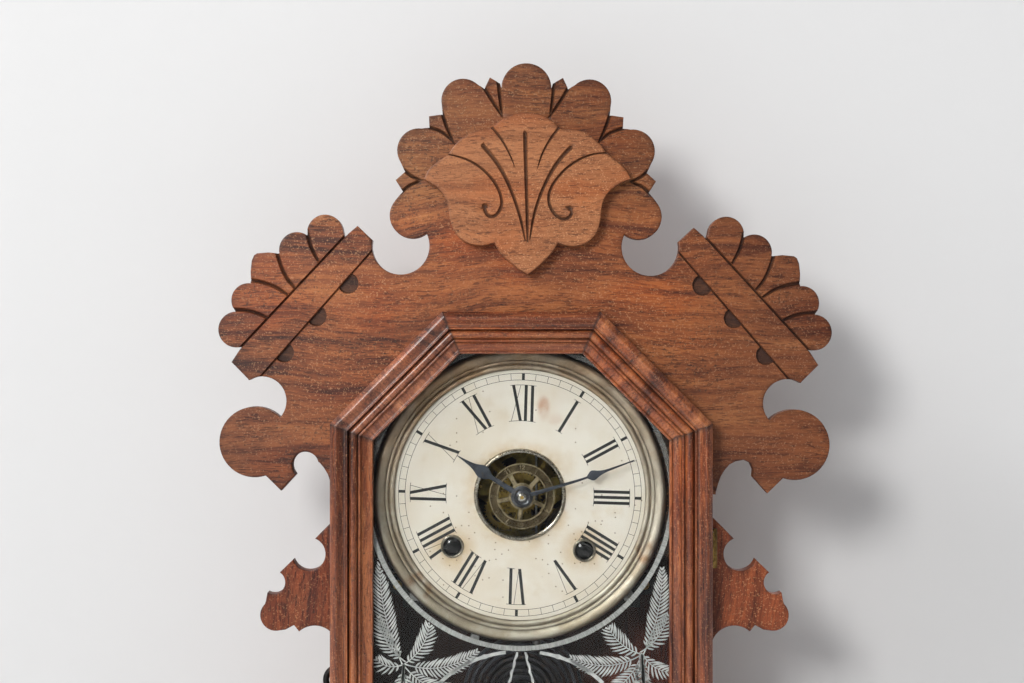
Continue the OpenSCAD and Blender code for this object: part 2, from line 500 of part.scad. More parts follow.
module second_wheel() color(bright) {
  arbor(S);
  lantern(S, ang(S, A), 12, m_main, 26.4, 31.6);
  wheel(S, ang(S, C), 45, 22.5 * m_sec, lantern_tooth(m_sec), 34, 35.4, 17.6, 4, 3, 4);
}
module center_wheel() color(bright) {
  disc(1.25, fp1 + 0.2, bp0 - 0.2, C[0], C[1], $fn = 48);
  disc(0.8, bp0 - 1, bp1 + 0.4, C[0], C[1], $fn = 48);
  disc(1.1, -30.2, fp1 + 1, C[0], C[1], $fn = 48);
  lantern(C, ang(C, S), 9, m_sec, 32, 37.6);
  wheel(C, ang(C, F), 77, 38.5 * m_cen, lantern_tooth(m_cen), 39.4, 40.6, 20.2, 4, 2.6, 4);
  // minute pinion
  translate([C[0], 0, C[1]]) rotate([0, -ang(C, M) - 15, 0]) slab(1.4, 4) polygon(toothed(12, 6 * m_m, pinion_leaf(m_m)));
}
module fourth_wheel() color(bright) {
  arbor(F, 1);
  lantern(F, ang(F, C), 7, m_cen, 37.8, 41.8);
  wheel(F, ang(F, E), 77, 38.5 * m_4th, lantern_tooth(m_4th), 12, 13, 16.8, 4, 2.2, 3);
}
module escape_wheel() color(bright) {
  disc(1.0, 0.6, bp0 - 0.2, E[0], E[1], $fn = 48);
  disc(0.8, bp0 - 1, bp1 + 0.4, E[0], E[1], $fn = 48);
  lantern(E, ang(E, F), 7, m_4th, 10.4, 14.6);
  translate([E[0], 0, E[1]]) {
    difference() {
      slab(1.2, 2) polygon([for (i = [0:39]) each [pol(11.6, 9 * i), pol(13, 9 * i + 0.8), pol(13, 9 * i + 1.8), pol(11.6, 9 * i + 4)]]);
      disc(9.6, 0, 3);
    }
    for (a = [0:90:179]) bar(pol(10, a), pol(-10, a), 1.8, 1.2, 2);
    disc(2.4, 0.8, 2.6);
  }
}
module verge() color(steel) {
  difference() {
    union() {
      disc(1.7, -4.1, 4.2, V[0], V[1], $fn = 48);
      // bent strip with its two pallets, clear of the tooth tips
      for (s = [-1, 1]) {
        bar(V, V + [s * 11.6, -10.2], 2.2, 0.6, 2.8);
        bar(V + [s * 11.2, -9.4], V + [s * 11.9, -12.6], 1.6, 0.6, 2.8);
      }
      // crutch wire and its fork
      bar(V, [V[0], 336], 1.3, -3.4, -2.2);
      translate([V[0] - 2.3, -3.4, 335.4]) cube([4.6, 1.2, 1.2]);
      for (s = [-1, 1]) disc(0.6, -8.4, -3, V[0] + s * 1.7, 336, $fn = 24);
    }
    disc(0.8 + pivot_c, -6, 6, V[0], V[1], $fn = 48);
  }
}
module suspension_cock() color(bright) {
  difference() {
    translate([V[0] - 3, -8, 374.6]) cube([6, 8 + fp0 + 1.5, 4.6]);
    translate([V[0] - 0.1, -7.5, 373]) cube([0.2, 3, 8]);
  }
  bar([V[0], 368], [V[0], 379], 6, fp0 - 1.2, fp0);
  // suspension spring
  translate([V[0] - 0.1, -7.5, 365.2]) cube([0.2, 3, 12]);
}
module pendulum_rod() color(steel) {
  translate([V[0] - 1.2, -7.6, 358.5]) cube([2.4, 3, 6.2]);
  translate([V[0], -6, 204]) cylinder(r = 0.8, h = 155, $fn = 32);
  // rating nut
  translate([V[0], -6, 207.6]) cylinder(r = 2.6, h = 2.2, $fn = 32);
}
module pendulum_bob() color(bright) difference() {
  turned(V[0], 226) translate([0, 6]) polygon([[0, -3.4], [6, -3.1], [11, -2.1], [14, -0.5],
    [14, 0.5], [11, 2.1], [6, 3.1], [0, 3.4]]);
  translate([V[0], -6, 200]) cylinder(r = 0.8, h = 60, $fn = 32);
}
module motion_wheel() color(bright) difference() {
  union() {
    wheel(M, ang(M, C), 36, 18 * m_m, leaf_tooth(m_m), 2, 3.4, 8, 4, 2.4, 3.6);
    translate([M[0], 0, M[1]]) rotate([0, -ang(M, C) - 20, 0]) slab(-1.6, 2.4) polygon(toothed(9, 4.5 * m_h, pinion_leaf(m_h)));
  }
  disc(1.0 + pivot_c, -6, 6, M[0], M[1], $fn = 48);
}
module hour_wheel() color(bright) difference() {
  union() {
    wheel(C, ang(C, M), 36, 18 * m_h, leaf_tooth(m_h), -0.9, 0.5, 8.6, 4, 2.8, 4);
    disc(2.6, -25.8, 0.5, C[0], C[1], $fn = 48);
  }
  disc(1.1 + pivot_c, -40, 10, C[0], C[1], $fn = 48);
}
// tapering hand with a leaf at lb, its half widths w0 at the boss, wb at the leaf
module hand(a, len, lb, w0, wb, boss, y0, y1) translate([C[0], 0, C[1]]) rotate([0, a, 0]) {
  slab(y0, y1) polygon([[-w0, 0], [-w0 * 0.8, lb * 0.7], [-wb, lb - 1], [-wb * 0.8, lb + 3], [-0.8, lb + 9], [-0.5, len],
    [0.5, len], [0.8, lb + 9], [wb * 0.8, lb + 3], [wb, lb - 1], [w0 * 0.8, lb * 0.7], [w0, 0]]);
  disc(boss, y0, y1);
}
module hour_hand() color("midnightblue") difference() {
  hand(hour_at, hour_len, 30, 1.8, 4.3, 7, -25.6, -25);
  disc(2.6, -30, -20, C[0], C[1], $fn = 48);
}
module minute_hand() color("midnightblue") difference() {
  hand(minute_at, minute_len, 44, 1.6, 2.9, 4.8, -27.8, -27.2);
  disc(1.1, -30, -20, C[0], C[1], $fn = 48);
}
module hand_nut() color(bright) difference() {
  union() { disc(2.5, -29.3, -28.3, C[0], C[1], $fn = 48); disc(3.2, -28.3, -27.8, C[0], C[1], $fn = 48); }
  disc(1.1, -32, -20, C[0], C[1], $fn = 48);
}
module alarm_disc() color("darkgoldenrod") translate([C[0], 0, C[1]]) {
  difference() {
    union() {
      difference() { disc(alarm_r, -21.7, -20.9, $fn = 96); disc(14.3, -22, -20); }
      for (i = [0:4]) bar(pol(2, 72 * i - 24), pol(15, 72 * i - 24), 3.2, -21.7, -20.9);
      disc(8.2, -21.7, -20.9);
      disc(4.2, -22.6, -17);
    }
    disc(2.6 + pivot_c, -30, 0, $fn = 48);
  }
}

// ---- striking train
module strike_main_wheel() main_wheel(As, Ss);
module strike_winding_arbor() winding_arbor(As);
module strike_second_wheel() color(bright) {
  arbor(Ss);
  lantern(Ss, ang(Ss, As), 12, m_main, 26.4, 31.6);
  wheel(Ss, ang(Ss, L), 60, 30 * m_str, lantern_tooth(m_str), 34, 35.2, 15.2, 4, 2.6, 4);
}
module fly() color(bright) {
  arbor(L, 1);
  lantern(L, ang(L, Ss), 8, m_str, 32.6, 36.6);
  translate([L[0], 0, L[1]]) rotate([0, 25, 0]) { translate([-13, 15, 0.6]) cube([26, 15, 0.6]); disc(1.9, 14, 31, $fn = 32); }
}
ham = [-30.2, 202.2];
module strike_hammer() color(steel) {
  arbor(H);
  disc(2.6, 36, 38.6, H[0], H[1], $fn = 32);
  bar(H, ham, 1.5, 37, 38.2);
  disc(3, 37, 44, ham[0], ham[1], $fn = 32);
}
G = [0, 166];
module gong() color("darkslategray") difference() {
  spiral(G, 7.4, 40.2, gong_turns + 1, 100, 1.9, 39.5, 42, 10);
  disc(8, 30, 50, G[0], G[1]);
}
module gong_base() color("dimgray") {
  disc(8, 38, 47, G[0], G[1]);
  turned(G[0], G[1]) polygon([[0, -54], [0, -45], [12, -45.6], [18, -48], [21, -52], [21, -54]]);
}

// ---- alarm in the lower left of the case
B = [-68, 122];
D = [-57, 143];
module alarm_frame() color(bright) difference() {
  union() {
    translate([-83, 30, 106]) cube([32, 1.2, 44]);
    translate([-83, 48.5, 106]) cube([32, 1.2, 44]);
    for (p = [[-79.5, 110], [-54.5, 110], [-79.5, 146.5], [-66, 146.5]]) disc(1.9, 29.2, 54, p[0], p[1], $fn = 32);
  }
  disc(2 + pivot_c, 20, 52, B[0], B[1], $fn = 48);
  disc(1 + pivot_c, 20, 52, D[0], D[1], $fn = 48);
}
module alarm_winder() color(bright) {
  disc(2, 14, 50.2, B[0], B[1], $fn = 48);
  disc(9.5, 34, 46, B[0], B[1], $fn = 48);
  translate([B[0], 0, B[1]]) { disc(3, 24, 29, $fn = 32); bar([-9, 0], [9, 0], 7, 16.5, 18); for (s = [-1, 1]) disc(5, 16.5, 18, s * 9, 0, $fn = 32); disc(2.6, 15, 24); }
}
alh = [-45.5, 157];
module alarm_hammer() color(steel) {
  disc(1, 28.4, 50.2, D[0], D[1], $fn = 48);
  disc(2.4, 41, 43, D[0], D[1], $fn = 32);
  bar(D, alh, 1.4, 41.4, 42.6);
  disc(2.2, 38.5, 43.5, alh[0], alh[1], $fn = 32);
}

base_front();
base_rails();
base_deck();
case_sides();
case_top();
back_board();
crest_board();
crest_ornament();
front_frame();
ears();
inner_blocks();
door_stile_left();
door_stile_right();
door_rail_bottom();
door_rail_top();
door_diagonals();
door_glass();
glazing_strips();
hinge_leaves_door();
hinge_leaves_case();
hinge_pins();
door_screws();
case_screws();
latch_hook();
dl() dial_pan();
dl() dial_paper();
dl() dial_bezel();
dl() dial_center_ring();
dl() winding_grommets();
mv() front_plate();
mv() back_plate();
mv() pillars();
mv() pillar_nuts();
mv() mainsprings();
mv() time_main_wheel();
mv() time_winding_arbor();
mv() second_wheel();
mv() center_wheel();
mv() fourth_wheel();
mv() escape_wheel();
mv() verge();
mv() suspension_cock();
mv() pendulum_rod();
mv() pendulum_bob();
mv() motion_wheel();
mv() hour_wheel();
mv() hour_hand();
mv() minute_hand();
mv() hand_nut();
mv() alarm_disc();
mv() strike_main_wheel();
mv() strike_winding_arbor();
mv() strike_second_wheel();
mv() fly();
mv() strike_hammer();
mv() gong();
mv() gong_base();
alarm_frame();
alarm_winder();
alarm_hammer();
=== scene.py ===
import bpy
import bmesh
import math
import random
from mathutils import Matrix, Vector, geometry, kdtree, noise


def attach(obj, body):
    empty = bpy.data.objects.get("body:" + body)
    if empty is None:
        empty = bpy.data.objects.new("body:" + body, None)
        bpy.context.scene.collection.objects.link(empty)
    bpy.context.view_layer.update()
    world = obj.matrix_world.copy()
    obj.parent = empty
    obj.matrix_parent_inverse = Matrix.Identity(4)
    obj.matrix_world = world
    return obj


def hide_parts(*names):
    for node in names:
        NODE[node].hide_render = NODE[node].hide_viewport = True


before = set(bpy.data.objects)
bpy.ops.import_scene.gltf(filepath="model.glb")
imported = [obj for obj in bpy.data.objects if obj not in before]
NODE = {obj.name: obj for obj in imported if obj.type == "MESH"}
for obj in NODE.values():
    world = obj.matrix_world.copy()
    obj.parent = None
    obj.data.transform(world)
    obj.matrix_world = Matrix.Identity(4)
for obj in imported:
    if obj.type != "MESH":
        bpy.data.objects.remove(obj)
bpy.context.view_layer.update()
scene = bpy.context.scene
MM = 0.001
CZ = 300.0
# middle of the dial, and middle of the hands with their wheels
DCX = -1.8
MX, MZ = -0.6, 299.2

# ------------------------------------------------------------------ camera
cam = bpy.data.cameras.new("camera")
cam.lens = 52.73
cam.sensor_width = 36.0
cam.clip_start = 0.05
cam.clip_end = 20
cam_ob = bpy.data.objects.new("camera", cam)
scene.collection.objects.link(cam_ob)
cam_ob.location = (-0.0066, -0.930, 0.3929)
cam_ob.rotation_euler = (math.radians(90), 0, 0)
scene.camera = cam_ob
scene.view_settings.view_transform = "Standard"


# ------------------------------------------------------------------ colours and node helpers
def lin(v):
    v = v / 255.0
    return v / 12.92 if v <= 0.04045 else ((v + 0.055) / 1.055) ** 2.4


def rgb(r, g, b):
    return (lin(r), lin(g), lin(b), 1.0)


class Mat:
    def __init__(self, name):
        self.m = bpy.data.materials.new(name)
        self.m.use_nodes = True
        self.nt = self.m.node_tree
        self.nt.nodes.clear()
        self.out = self.nt.nodes.new("ShaderNodeOutputMaterial")
        self.bsdf = self.nt.nodes.new("ShaderNodeBsdfPrincipled")
        self.nt.links.new(self.bsdf.outputs[0], self.out.inputs[0])
        self.tc = self.nt.nodes.new("ShaderNodeTexCoord").outputs["Object"]

    def node(self, kind, **props):
        n = self.nt.nodes.new(kind)
        for k, v in props.items():
            setattr(n, k, v)
        return n

    def put(self, socket, value):
        if isinstance(value, bpy.types.NodeSocket):
            self.nt.links.new(value, socket)
        else:
            socket.default_value = value

    def set(self, **values):
        for k, v in values.items():
            self.put(self.bsdf.inputs[k.replace("_", " ")], v)

    def mapping(self, src=None, scale=(1, 1, 1), rot=(0, 0, 0), loc=(0, 0, 0)):
        n = self.node("ShaderNodeMapping")
        self.put(n.inputs["Vector"], src or self.tc)
        n.inputs["Scale"].default_value = scale
        n.inputs["Rotation"].default_value = rot
        n.inputs["Location"].default_value = loc
        return n.outputs[0]

    def noise(self, vec, scale=1.0, detail=3.0, rough=0.5, dist=0.0):
        n = self.node("ShaderNodeTexNoise")
        self.put(n.inputs["Vector"], vec)
        n.inputs["Scale"].default_value = scale
        n.inputs["Detail"].default_value = detail
        n.inputs["Roughness"].default_value = rough
        n.inputs["Distortion"].default_value = dist
        return n.outputs["Fac"]

    def voronoi(self, vec, scale=1.0, feature="F1", rand=1.0):
        n = self.node("ShaderNodeTexVoronoi", feature=feature)
        self.put(n.inputs["Vector"], vec)
        n.inputs["Scale"].default_value = scale
        n.inputs["Randomness"].default_value = rand
        return n

    def ramp(self, fac, stops, mode="LINEAR"):
        n = self.node("ShaderNodeValToRGB")
        n.color_ramp.interpolation = mode
        els = n.color_ramp.elements
        while len(els) > 1:
            els.remove(els[-1])
        first = True
        for pos, col in stops:
            if not isinstance(col, tuple):
                col = (col, col, col, 1.0)
            if first:
                els[0].position = pos
                els[0].color = col
                first = False
            else:
                e = els.new(pos)
                e.color = col
        self.put(n.inputs[0], fac)
        return n.outputs[0]

    def range(self, fac, a, b, lo=0.0, hi=1.0, smooth=True):
        n = self.node("ShaderNodeMapRange")
        n.interpolation_type = "SMOOTHSTEP" if smooth else "LINEAR"
        n.clamp = True
        self.put(n.inputs[0], fac)
        for i, v in enumerate((a, b, lo, hi)):
            n.inputs[i + 1].default_value = v
        return n.outputs[0]

    def mix(self, fac, a, b, mode="MIX"):
        n = self.node("ShaderNodeMix", data_type="RGBA", blend_type=mode)
        self.put(n.inputs[0], fac)
        self.put(n.inputs[6], a)
        self.put(n.inputs[7], b)
        return n.outputs[2]

    def math(self, op, a, b=0.0, clamp=False):
        n = self.node("ShaderNodeMath", operation=op, use_clamp=clamp)
        self.put(n.inputs[0], a)
        self.put(n.inputs[1], b)
        return n.outputs[0]

    def attr(self, name):
        n = self.node("ShaderNodeAttribute", attribute_type="GEOMETRY", attribute_name=name)
        s = self.node("ShaderNodeSeparateColor")
        self.nt.links.new(n.outputs["Color"], s.inputs[0])
        return s.outputs[0], s.outputs[1], s.outputs[2]

    def bump(self, height, strength=0.5, distance=0.0002, normal=None):
        n = self.node("ShaderNodeBump")
        self.put(n.inputs["Height"], height)
        n.inputs["Strength"].default_value = strength
        n.inputs["Distance"].default_value = distance
        if normal is not None:
            self.put(n.inputs["Normal"], normal)
        return n.outputs[0]

    def xyz(self, vec=None):
        s = self.node("ShaderNodeSeparateXYZ")
        self.put(s.inputs[0], vec or self.tc)
        return s.outputs[0], s.outputs[1], s.outputs[2]

    def dist_xz(self, cx, cz, sx=1.0, sz=1.0):
        x, y, z = self.xyz()
        dx = self.math("MULTIPLY", self.math("SUBTRACT", x, cx), 1.0 / sx)
        dz = self.math("MULTIPLY", self.math("SUBTRACT", z, cz), 1.0 / sz)
        return self.math("SQRT", self.math("ADD", self.math("MULTIPLY", dx, dx), self.math("MULTIPLY", dz, dz)))


# ------------------------------------------------------------------ wood
def wood(name, grain=0.0, seed=0.0, shades=None, veil=0.0, rough=0.46, pores=1.0, coat=0.12, stain=1.0, glint=1.0, up=False, streaks=1.0, cut_dark=0.55, shade_and_sheen=None, coat_rough=0.28, bump=0.55, tint=(1.0, 0.9, 0.78, 1.0), spec=0.34, dirt=1.0, lit_low_right=0.0):
    """Brown open-pored wood. grain is the turn of its fibres from X, in degrees in the front plane."""
    m = Mat(name)
    d, md, lt, hl = shades or (rgb(92, 50, 36), rgb(140, 82, 56), rgb(166, 103, 70), rgb(190, 126, 88))
    if up:
        v0 = m.mapping(rot=(0, 0, math.radians(90)), loc=(seed * 1.73, seed * 0.61, seed * 2.17))
    else:
        v0 = m.mapping(rot=(0, math.radians(grain), 0), loc=(seed * 1.73, seed * 0.61, seed * 2.17))
    # the fibres wander a little
    wav = m.noise(m.mapping(v0, scale=(7, 9, 11)), 1.0, 2.0, 0.5)
    comb = m.node("ShaderNodeCombineXYZ")
    m.put(comb.inputs[2], m.math("MULTIPLY", m.math("SUBTRACT", wav, 0.5), 0.030))
    add = m.node("ShaderNodeVectorMath", operation="ADD")
    m.put(add.inputs[0], v0)
    m.put(add.inputs[1], comb.outputs[0])
    v = add.outputs[0]
    broad = m.noise(m.mapping(v, scale=(4, 30, 40)), 1.0, 3.0, 0.55, 0.3)
    mid = m.noise(m.mapping(v, scale=(13, 130, 210)), 1.0, 4.0, 0.62, 0.25)
    fine = m.noise(m.mapping(v, scale=(55, 650, 900)), 1.0, 3.0, 0.6)
    pore_n = m.noise(m.mapping(v, scale=(230, 1500, 1750)), 1.0, 1.0, 0.4)
    pore_w = m.noise(m.mapping(v, scale=(18, 60, 90)), 1.0, 2.0, 0.5)
    fig = m.math("ADD", m.math("ADD", m.math("MULTIPLY", broad, 0.42), m.math("MULTIPLY", mid, 0.42)), m.math("MULTIPLY", fine, 0.27))
    col = m.ramp(fig, [(0.44, d), (0.51, md), (0.58, lt), (0.67, hl)])
    col = m.mix(1.0, col, tint, "MULTIPLY")
    # dusky purple-brown streaks, some as long as a finger
    st = m.noise(m.mapping(v, loc=(1.9, 4.2, 0.7), scale=(11, 80, 150)), 1.0, 4.0, 0.58, 0.2)
    st_w = m.noise(m.mapping(v, loc=(5.5, 0.3, 2.6), scale=(8, 16, 22)), 1.0, 2.0, 0.5)
    streak = m.math("MULTIPLY", m.range(st, 0.52, 0.66), m.range(st_w, 0.38, 0.6, 0.15, 1.0))
    col = m.mix(m.math("MULTIPLY", streak, 0.78 * streaks), col, m.mix(1.0, col, rgb(150, 120, 136), "MULTIPLY"))
    # reddish and greyish clouds in the old finish
    cloud = m.noise(m.mapping(v, scale=(9, 13, 15)), 1.0, 4.0, 0.6)
    col = m.mix(m.range(cloud, 0.42, 0.68, 0.0, 0.6 * stain), col, m.mix(1.0, col, rgb(206, 184, 186), "MULTIPLY"))
    warm = m.noise(m.mapping(v, loc=(3.1, 1.7, 0.4), scale=(12, 17, 26)), 1.0, 3.0, 0.55)
    col = m.mix(m.range(warm, 0.48, 0.7, 0.0, 0.7), col, m.mix(1.0, col, rgb(255, 218, 178), "MULTIPLY"))
    # dark pores, short dashes along the fibres
    pore = m.math("MULTIPLY", m.range(pore_n, 0.575, 0.635), m.range(pore_w, 0.38, 0.62, 0.35, 1.0))
    col = m.mix(m.math("MULTIPLY", pore, 0.62 * pores), col, m.mix(1.0, col, rgb(108, 88, 84), "MULTIPLY"))
    dash_n = m.noise(m.mapping(v, loc=(0.6, 2.9, 1.4), scale=(150, 850, 1050)), 1.0, 2.0, 0.5)
    dash = m.math("MULTIPLY", m.range(dash_n, 0.575, 0.64), m.range(st_w, 0.36, 0.58, 0.25, 1.0))
    col = m.mix(m.math("MULTIPLY", dash, 0.66 * pores), col, m.mix(1.0, col, rgb(120, 96, 88), "MULTIPLY"))
    # painted glints: pale orange specks that stand for the varnish catching the light
    sp = m.noise(m.mapping(m.tc, scale=(980, 980, 980)), 1.0, 2.0, 0.55)
    glint_spots = m.math("MULTIPLY", m.range(sp, 0.585, 0.655), m.range(cloud, 0.35, 0.6, 0.4, 1.0))
    col = m.mix(m.math("MULTIPLY", glint_spots, 0.46 * glint), col, rgb(216, 158, 112))
    # green-black dirt specks, thicker in some patches than others
    dk = m.noise(m.mapping(m.tc, loc=(0.4, 0.2, 0.9), scale=(620, 620, 620)), 1.0, 2.0, 0.5)
    dk_w = m.noise(m.mapping(m.tc, scale=(16, 16, 16)), 1.0, 2.0, 0.5)
    col = m.mix(m.math("MULTIPLY", m.range(dk, 0.60, 0.70), m.range(dk_w, 0.42, 0.66, 0.05 * dirt, 0.62 * dirt)), col, rgb(50, 42, 32))
    if lit_low_right > 0.0:
        # painted light and shade: brighter and redder at the lower right, where light through the glass falls, and much
        # darker elsewhere
        x, y, z = m.xyz()
        diag = m.math("SUBTRACT", m.math("MULTIPLY", x, 1.0), m.math("SUBTRACT", z, 0.165))
        col = m.mix(m.math("MULTIPLY", m.range(m.math("ADD", diag, m.math("MULTIPLY", m.math("SUBTRACT", cloud, 0.5), 0.05)), 0.015, 0.075), lit_low_right), m.mix(1.0, col, (0.34, 0.36, 0.42, 1), "MULTIPLY"), m.mix(1.0, col, (1.9, 1.35, 1.2, 1), "MULTIPLY"))
        # the side towards the wall is bare, dusty wood
        ys = [v.co.y for v in NODE["back_board"].data.vertices]
        rear = m.math("GREATER_THAN", y, min(ys) + (max(ys) - min(ys)) * 0.9)
        bare = m.ramp(fig, [(0.44, rgb(78, 54, 38)), (0.51, rgb(104, 75, 53)), (0.58, rgb(124, 91, 65)), (0.67, rgb(142, 107, 78))])
        col = m.mix(rear, col, m.mix(m.math("MULTIPLY", pore_w, 0.35), bare, rgb(88, 72, 58)))
    # grime in the cuts and along the edges, from the attribute of the mesh
    cav, edge, tone = m.attr("wear")
    grime_n = m.noise(m.mapping(m.tc, scale=(90, 90, 90)), 1.0, 4.0, 0.6)
    e = m.math("MULTIPLY", edge, m.range(grime_n, 0.4, 0.62, 0.15, 0.75))
    col = m.mix(e, col, m.mix(1.0, col, rgb(150, 138, 140), "MULTIPLY"))
    col = m.mix(m.math("MULTIPLY", cav, cut_dark), col, rgb(42, 34, 31))
    if shade_and_sheen is not None:
        cx, cz, sx, sz, a, b = shade_and_sheen
        # painted shade: the crest darkens away from its middle, as the light falls off towards the wing tips
        col = m.mix(m.range(m.dist_xz(cx, cz, sx, sz), a, b), col, m.mix(1.0, col, rgb(208, 212, 226), "MULTIPLY"))
        # painted sheen: the lobes at the top are greyer, most on the left, as if veiled by reflected light
        hx, hy, hz = m.xyz()
        col = m.mix(m.math("MULTIPLY", m.range(m.math("ADD", hz, m.math("MULTIPLY", m.math("SUBTRACT", cloud, 0.5), 0.04)), 0.452, 0.49), m.range(hx, -0.11, -0.02, 1.0, 0.7)), col, m.mix(1.0, col, rgb(226, 246, 255), "MULTIPLY"))
    m.set(Base_Color=col)
    r = m.math("ADD", m.math("MULTIPLY", m.noise(m.mapping(v, scale=(60, 240, 300)), 1.0, 3.0, 0.6), 0.26), rough - 0.13)
    r = m.math("ADD", r, m.math("MULTIPLY", cav, 0.25))
    m.set(Roughness=r)
    h = m.math("ADD", m.math("MULTIPLY", fine, 0.30), m.math("MULTIPLY", pore, -0.55 * pores))
    h = m.math("ADD", h, m.math("MULTIPLY", sp, 0.42 * glint))
    h = m.math("ADD", h, m.math("MULTIPLY", mid, 0.3))
    m.set(Normal=m.bump(h, bump, 0.00028))
    m.bsdf.inputs["Specular IOR Level"].default_value = spec
    m.bsdf.inputs["Coat Weight"].default_value = coat
    m.bsdf.inputs["Coat Roughness"].default_value = coat_rough
    return m.m


CREST_SH = (rgb(92, 51, 34), rgb(138, 80, 48), rgb(166, 101, 60), rgb(188, 122, 74))
TULIP_SH = (rgb(142, 88, 54), rgb(160, 101, 63), rgb(174, 112, 71), rgb(188, 124, 80))
DOOR_SH = (rgb(60, 29, 19), rgb(106, 56, 35), rgb(140, 79, 48), rgb(182, 114, 70))
# painted light: both diagonals get lighter shades than the stiles and rails, standing in for the light they catch; the
# right one is warmer
DIAG_LIT_SH = (rgb(84, 44, 32), rgb(136, 80, 56), rgb(170, 106, 74), rgb(206, 144, 104))
DIAR_LIT_SH = (rgb(88, 46, 30), rgb(140, 80, 50), rgb(172, 106, 66), rgb(206, 138, 90))
EAR_SH = (rgb(76, 39, 25), rgb(113, 61, 39), rgb(135, 75, 48), rgb(159, 94, 60))
CASE_SH = (rgb(78, 42, 27), rgb(112, 66, 41), rgb(134, 82, 51), rgb(158, 102, 65))
RAW_SH = (rgb(112, 76, 50), rgb(146, 104, 70), rgb(168, 124, 86), rgb(186, 144, 102))
# partly old dust, partly painted shade: a near-black copy of the wood for the blocks and strips inside the case
DUST_AND_SHADE_SH = (rgb(30, 22, 17), rgb(42, 32, 25), rgb(50, 38, 30), rgb(60, 46, 36))
BACK_SH = (rgb(44, 24, 16), rgb(62, 33, 22), rgb(78, 43, 28), rgb(92, 53, 35))

wood_crest = wood("wood_crest", 0.6, 1.3, CREST_SH, rough=0.44, cut_dark=0.85, coat=0.06, shade_and_sheen=(-0.028, 0.435, 0.145, 0.12, 0.62, 1.3))
wood_tulip = wood("wood_tulip", -1.5, 4.7, TULIP_SH, rough=0.42, stain=0.3, glint=1.4, pores=0.85, streaks=0.1, cut_dark=0.8, tint=(1.0, 0.98, 0.95, 1.0))
wood_ear = wood("wood_ear", 90.0, 8.1, EAR_SH, rough=0.45, stain=0.5, coat=0.05, tint=(1.0, 0.84, 0.68, 1.0))
# painted light: the right ear gets a copy of the ear wood painted much brighter, standing in for light that reaches it
wood_ear_lit = wood("wood_ear_right_lit", 90.0, 12.4, tuple(tuple(min(1.0, c * 1.45) for c in q[:3]) + (1.0,) for q in EAR_SH), rough=0.45, stain=0.4, coat=0.05, tint=(1.0, 0.82, 0.64, 1.0))
wood_case = wood("wood_case", 90.0, 2.9, CASE_SH, rough=0.45, coat=0.08)
wood_deck = wood("wood_deck", 0.0, 6.4, CASE_SH, rough=0.42)
wood_base = wood("wood_base", 0.0, 9.6, CASE_SH, rough=0.44)
wood_raw = wood("wood_raw", 90.0, 3.7, RAW_SH, rough=0.62, coat=0.0, glint=0.5)
wood_block = wood("wood_block", 0.0, 5.2, DUST_AND_SHADE_SH, rough=0.65, coat=0.0, glint=0.5)
wood_dark = wood("wood_back_board", 90.0, 6.9, BACK_SH, rough=0.66, coat=0.0, glint=0.0, pores=0.3, stain=1.2, dirt=0.0, lit_low_right=1.0)


def door_wood(name, grain, seed, shades=DOOR_SH):
    return wood(name, grain, seed, shades, rough=0.34, coat=0.4, stain=0.25, glint=0.9, pores=0.9, streaks=0.7, cut_dark=0.82, coat_rough=0.15, bump=0.38, tint=(0.97, 0.87, 0.8, 1.0), spec=0.42)


# ------------------------------------------------------------------ metals, paper, glass
def metal(name, base, other, rough=0.35, spot=None, scale=60.0, metallic=1.0, bump=0.15, fine=1.0, brushed=None):
    """Old metal: two tones in clouds, dark spots, and fine scratches in the shine."""
    m = Mat(name)
    n1 = m.noise(m.mapping(scale=(scale, scale, scale)), 1.0, 5.0, 0.62, 0.4)
    n2 = m.noise(m.mapping(scale=(scale * 9, scale * 9, scale * 9)), 1.0, 3.0, 0.6)
    col = m.mix(m.range(n1, 0.38, 0.66), base, other)
    col = m.mix(m.math("MULTIPLY", m.range(n2, 0.5, 0.75), 0.35 * fine), col, m.mix(1.0, col, (0.45, 0.42, 0.4, 1), "MULTIPLY"))
    cav, edge, tone = m.attr("wear")
    col = m.mix(m.math("MULTIPLY", cav, 0.8), col, m.mix(1.0, col, (0.16, 0.13, 0.11, 1), "MULTIPLY"))
    if spot is not None:
        sp = m.noise(m.mapping(loc=(4.0, 2.0, 1.0), scale=(scale * 2.3,) * 3), 1.0, 4.0, 0.7)
        col = m.mix(m.range(sp, 0.56, 0.70), col, spot)
    m.set(Base_Color=col)
    m.set(Metallic=metallic)
    r = m.math("ADD", m.math("MULTIPLY", n1, 0.3), rough - 0.15)
    r = m.math("ADD", r, m.math("MULTIPLY", m.math("SUBTRACT", n2, 0.5), 0.25 * fine))
    m.set(Roughness=m.math("ADD", r, m.math("MULTIPLY", cav, 0.2), True))
    m.set(Normal=m.bump(m.math("ADD", n2, m.math("MULTIPLY", n1, 0.5)), bump, 0.00015))
    return m.m


brass_move = metal("brass_movement", rgb(176, 150, 84), rgb(120, 98, 52), 0.38, rgb(86, 72, 48), 70)


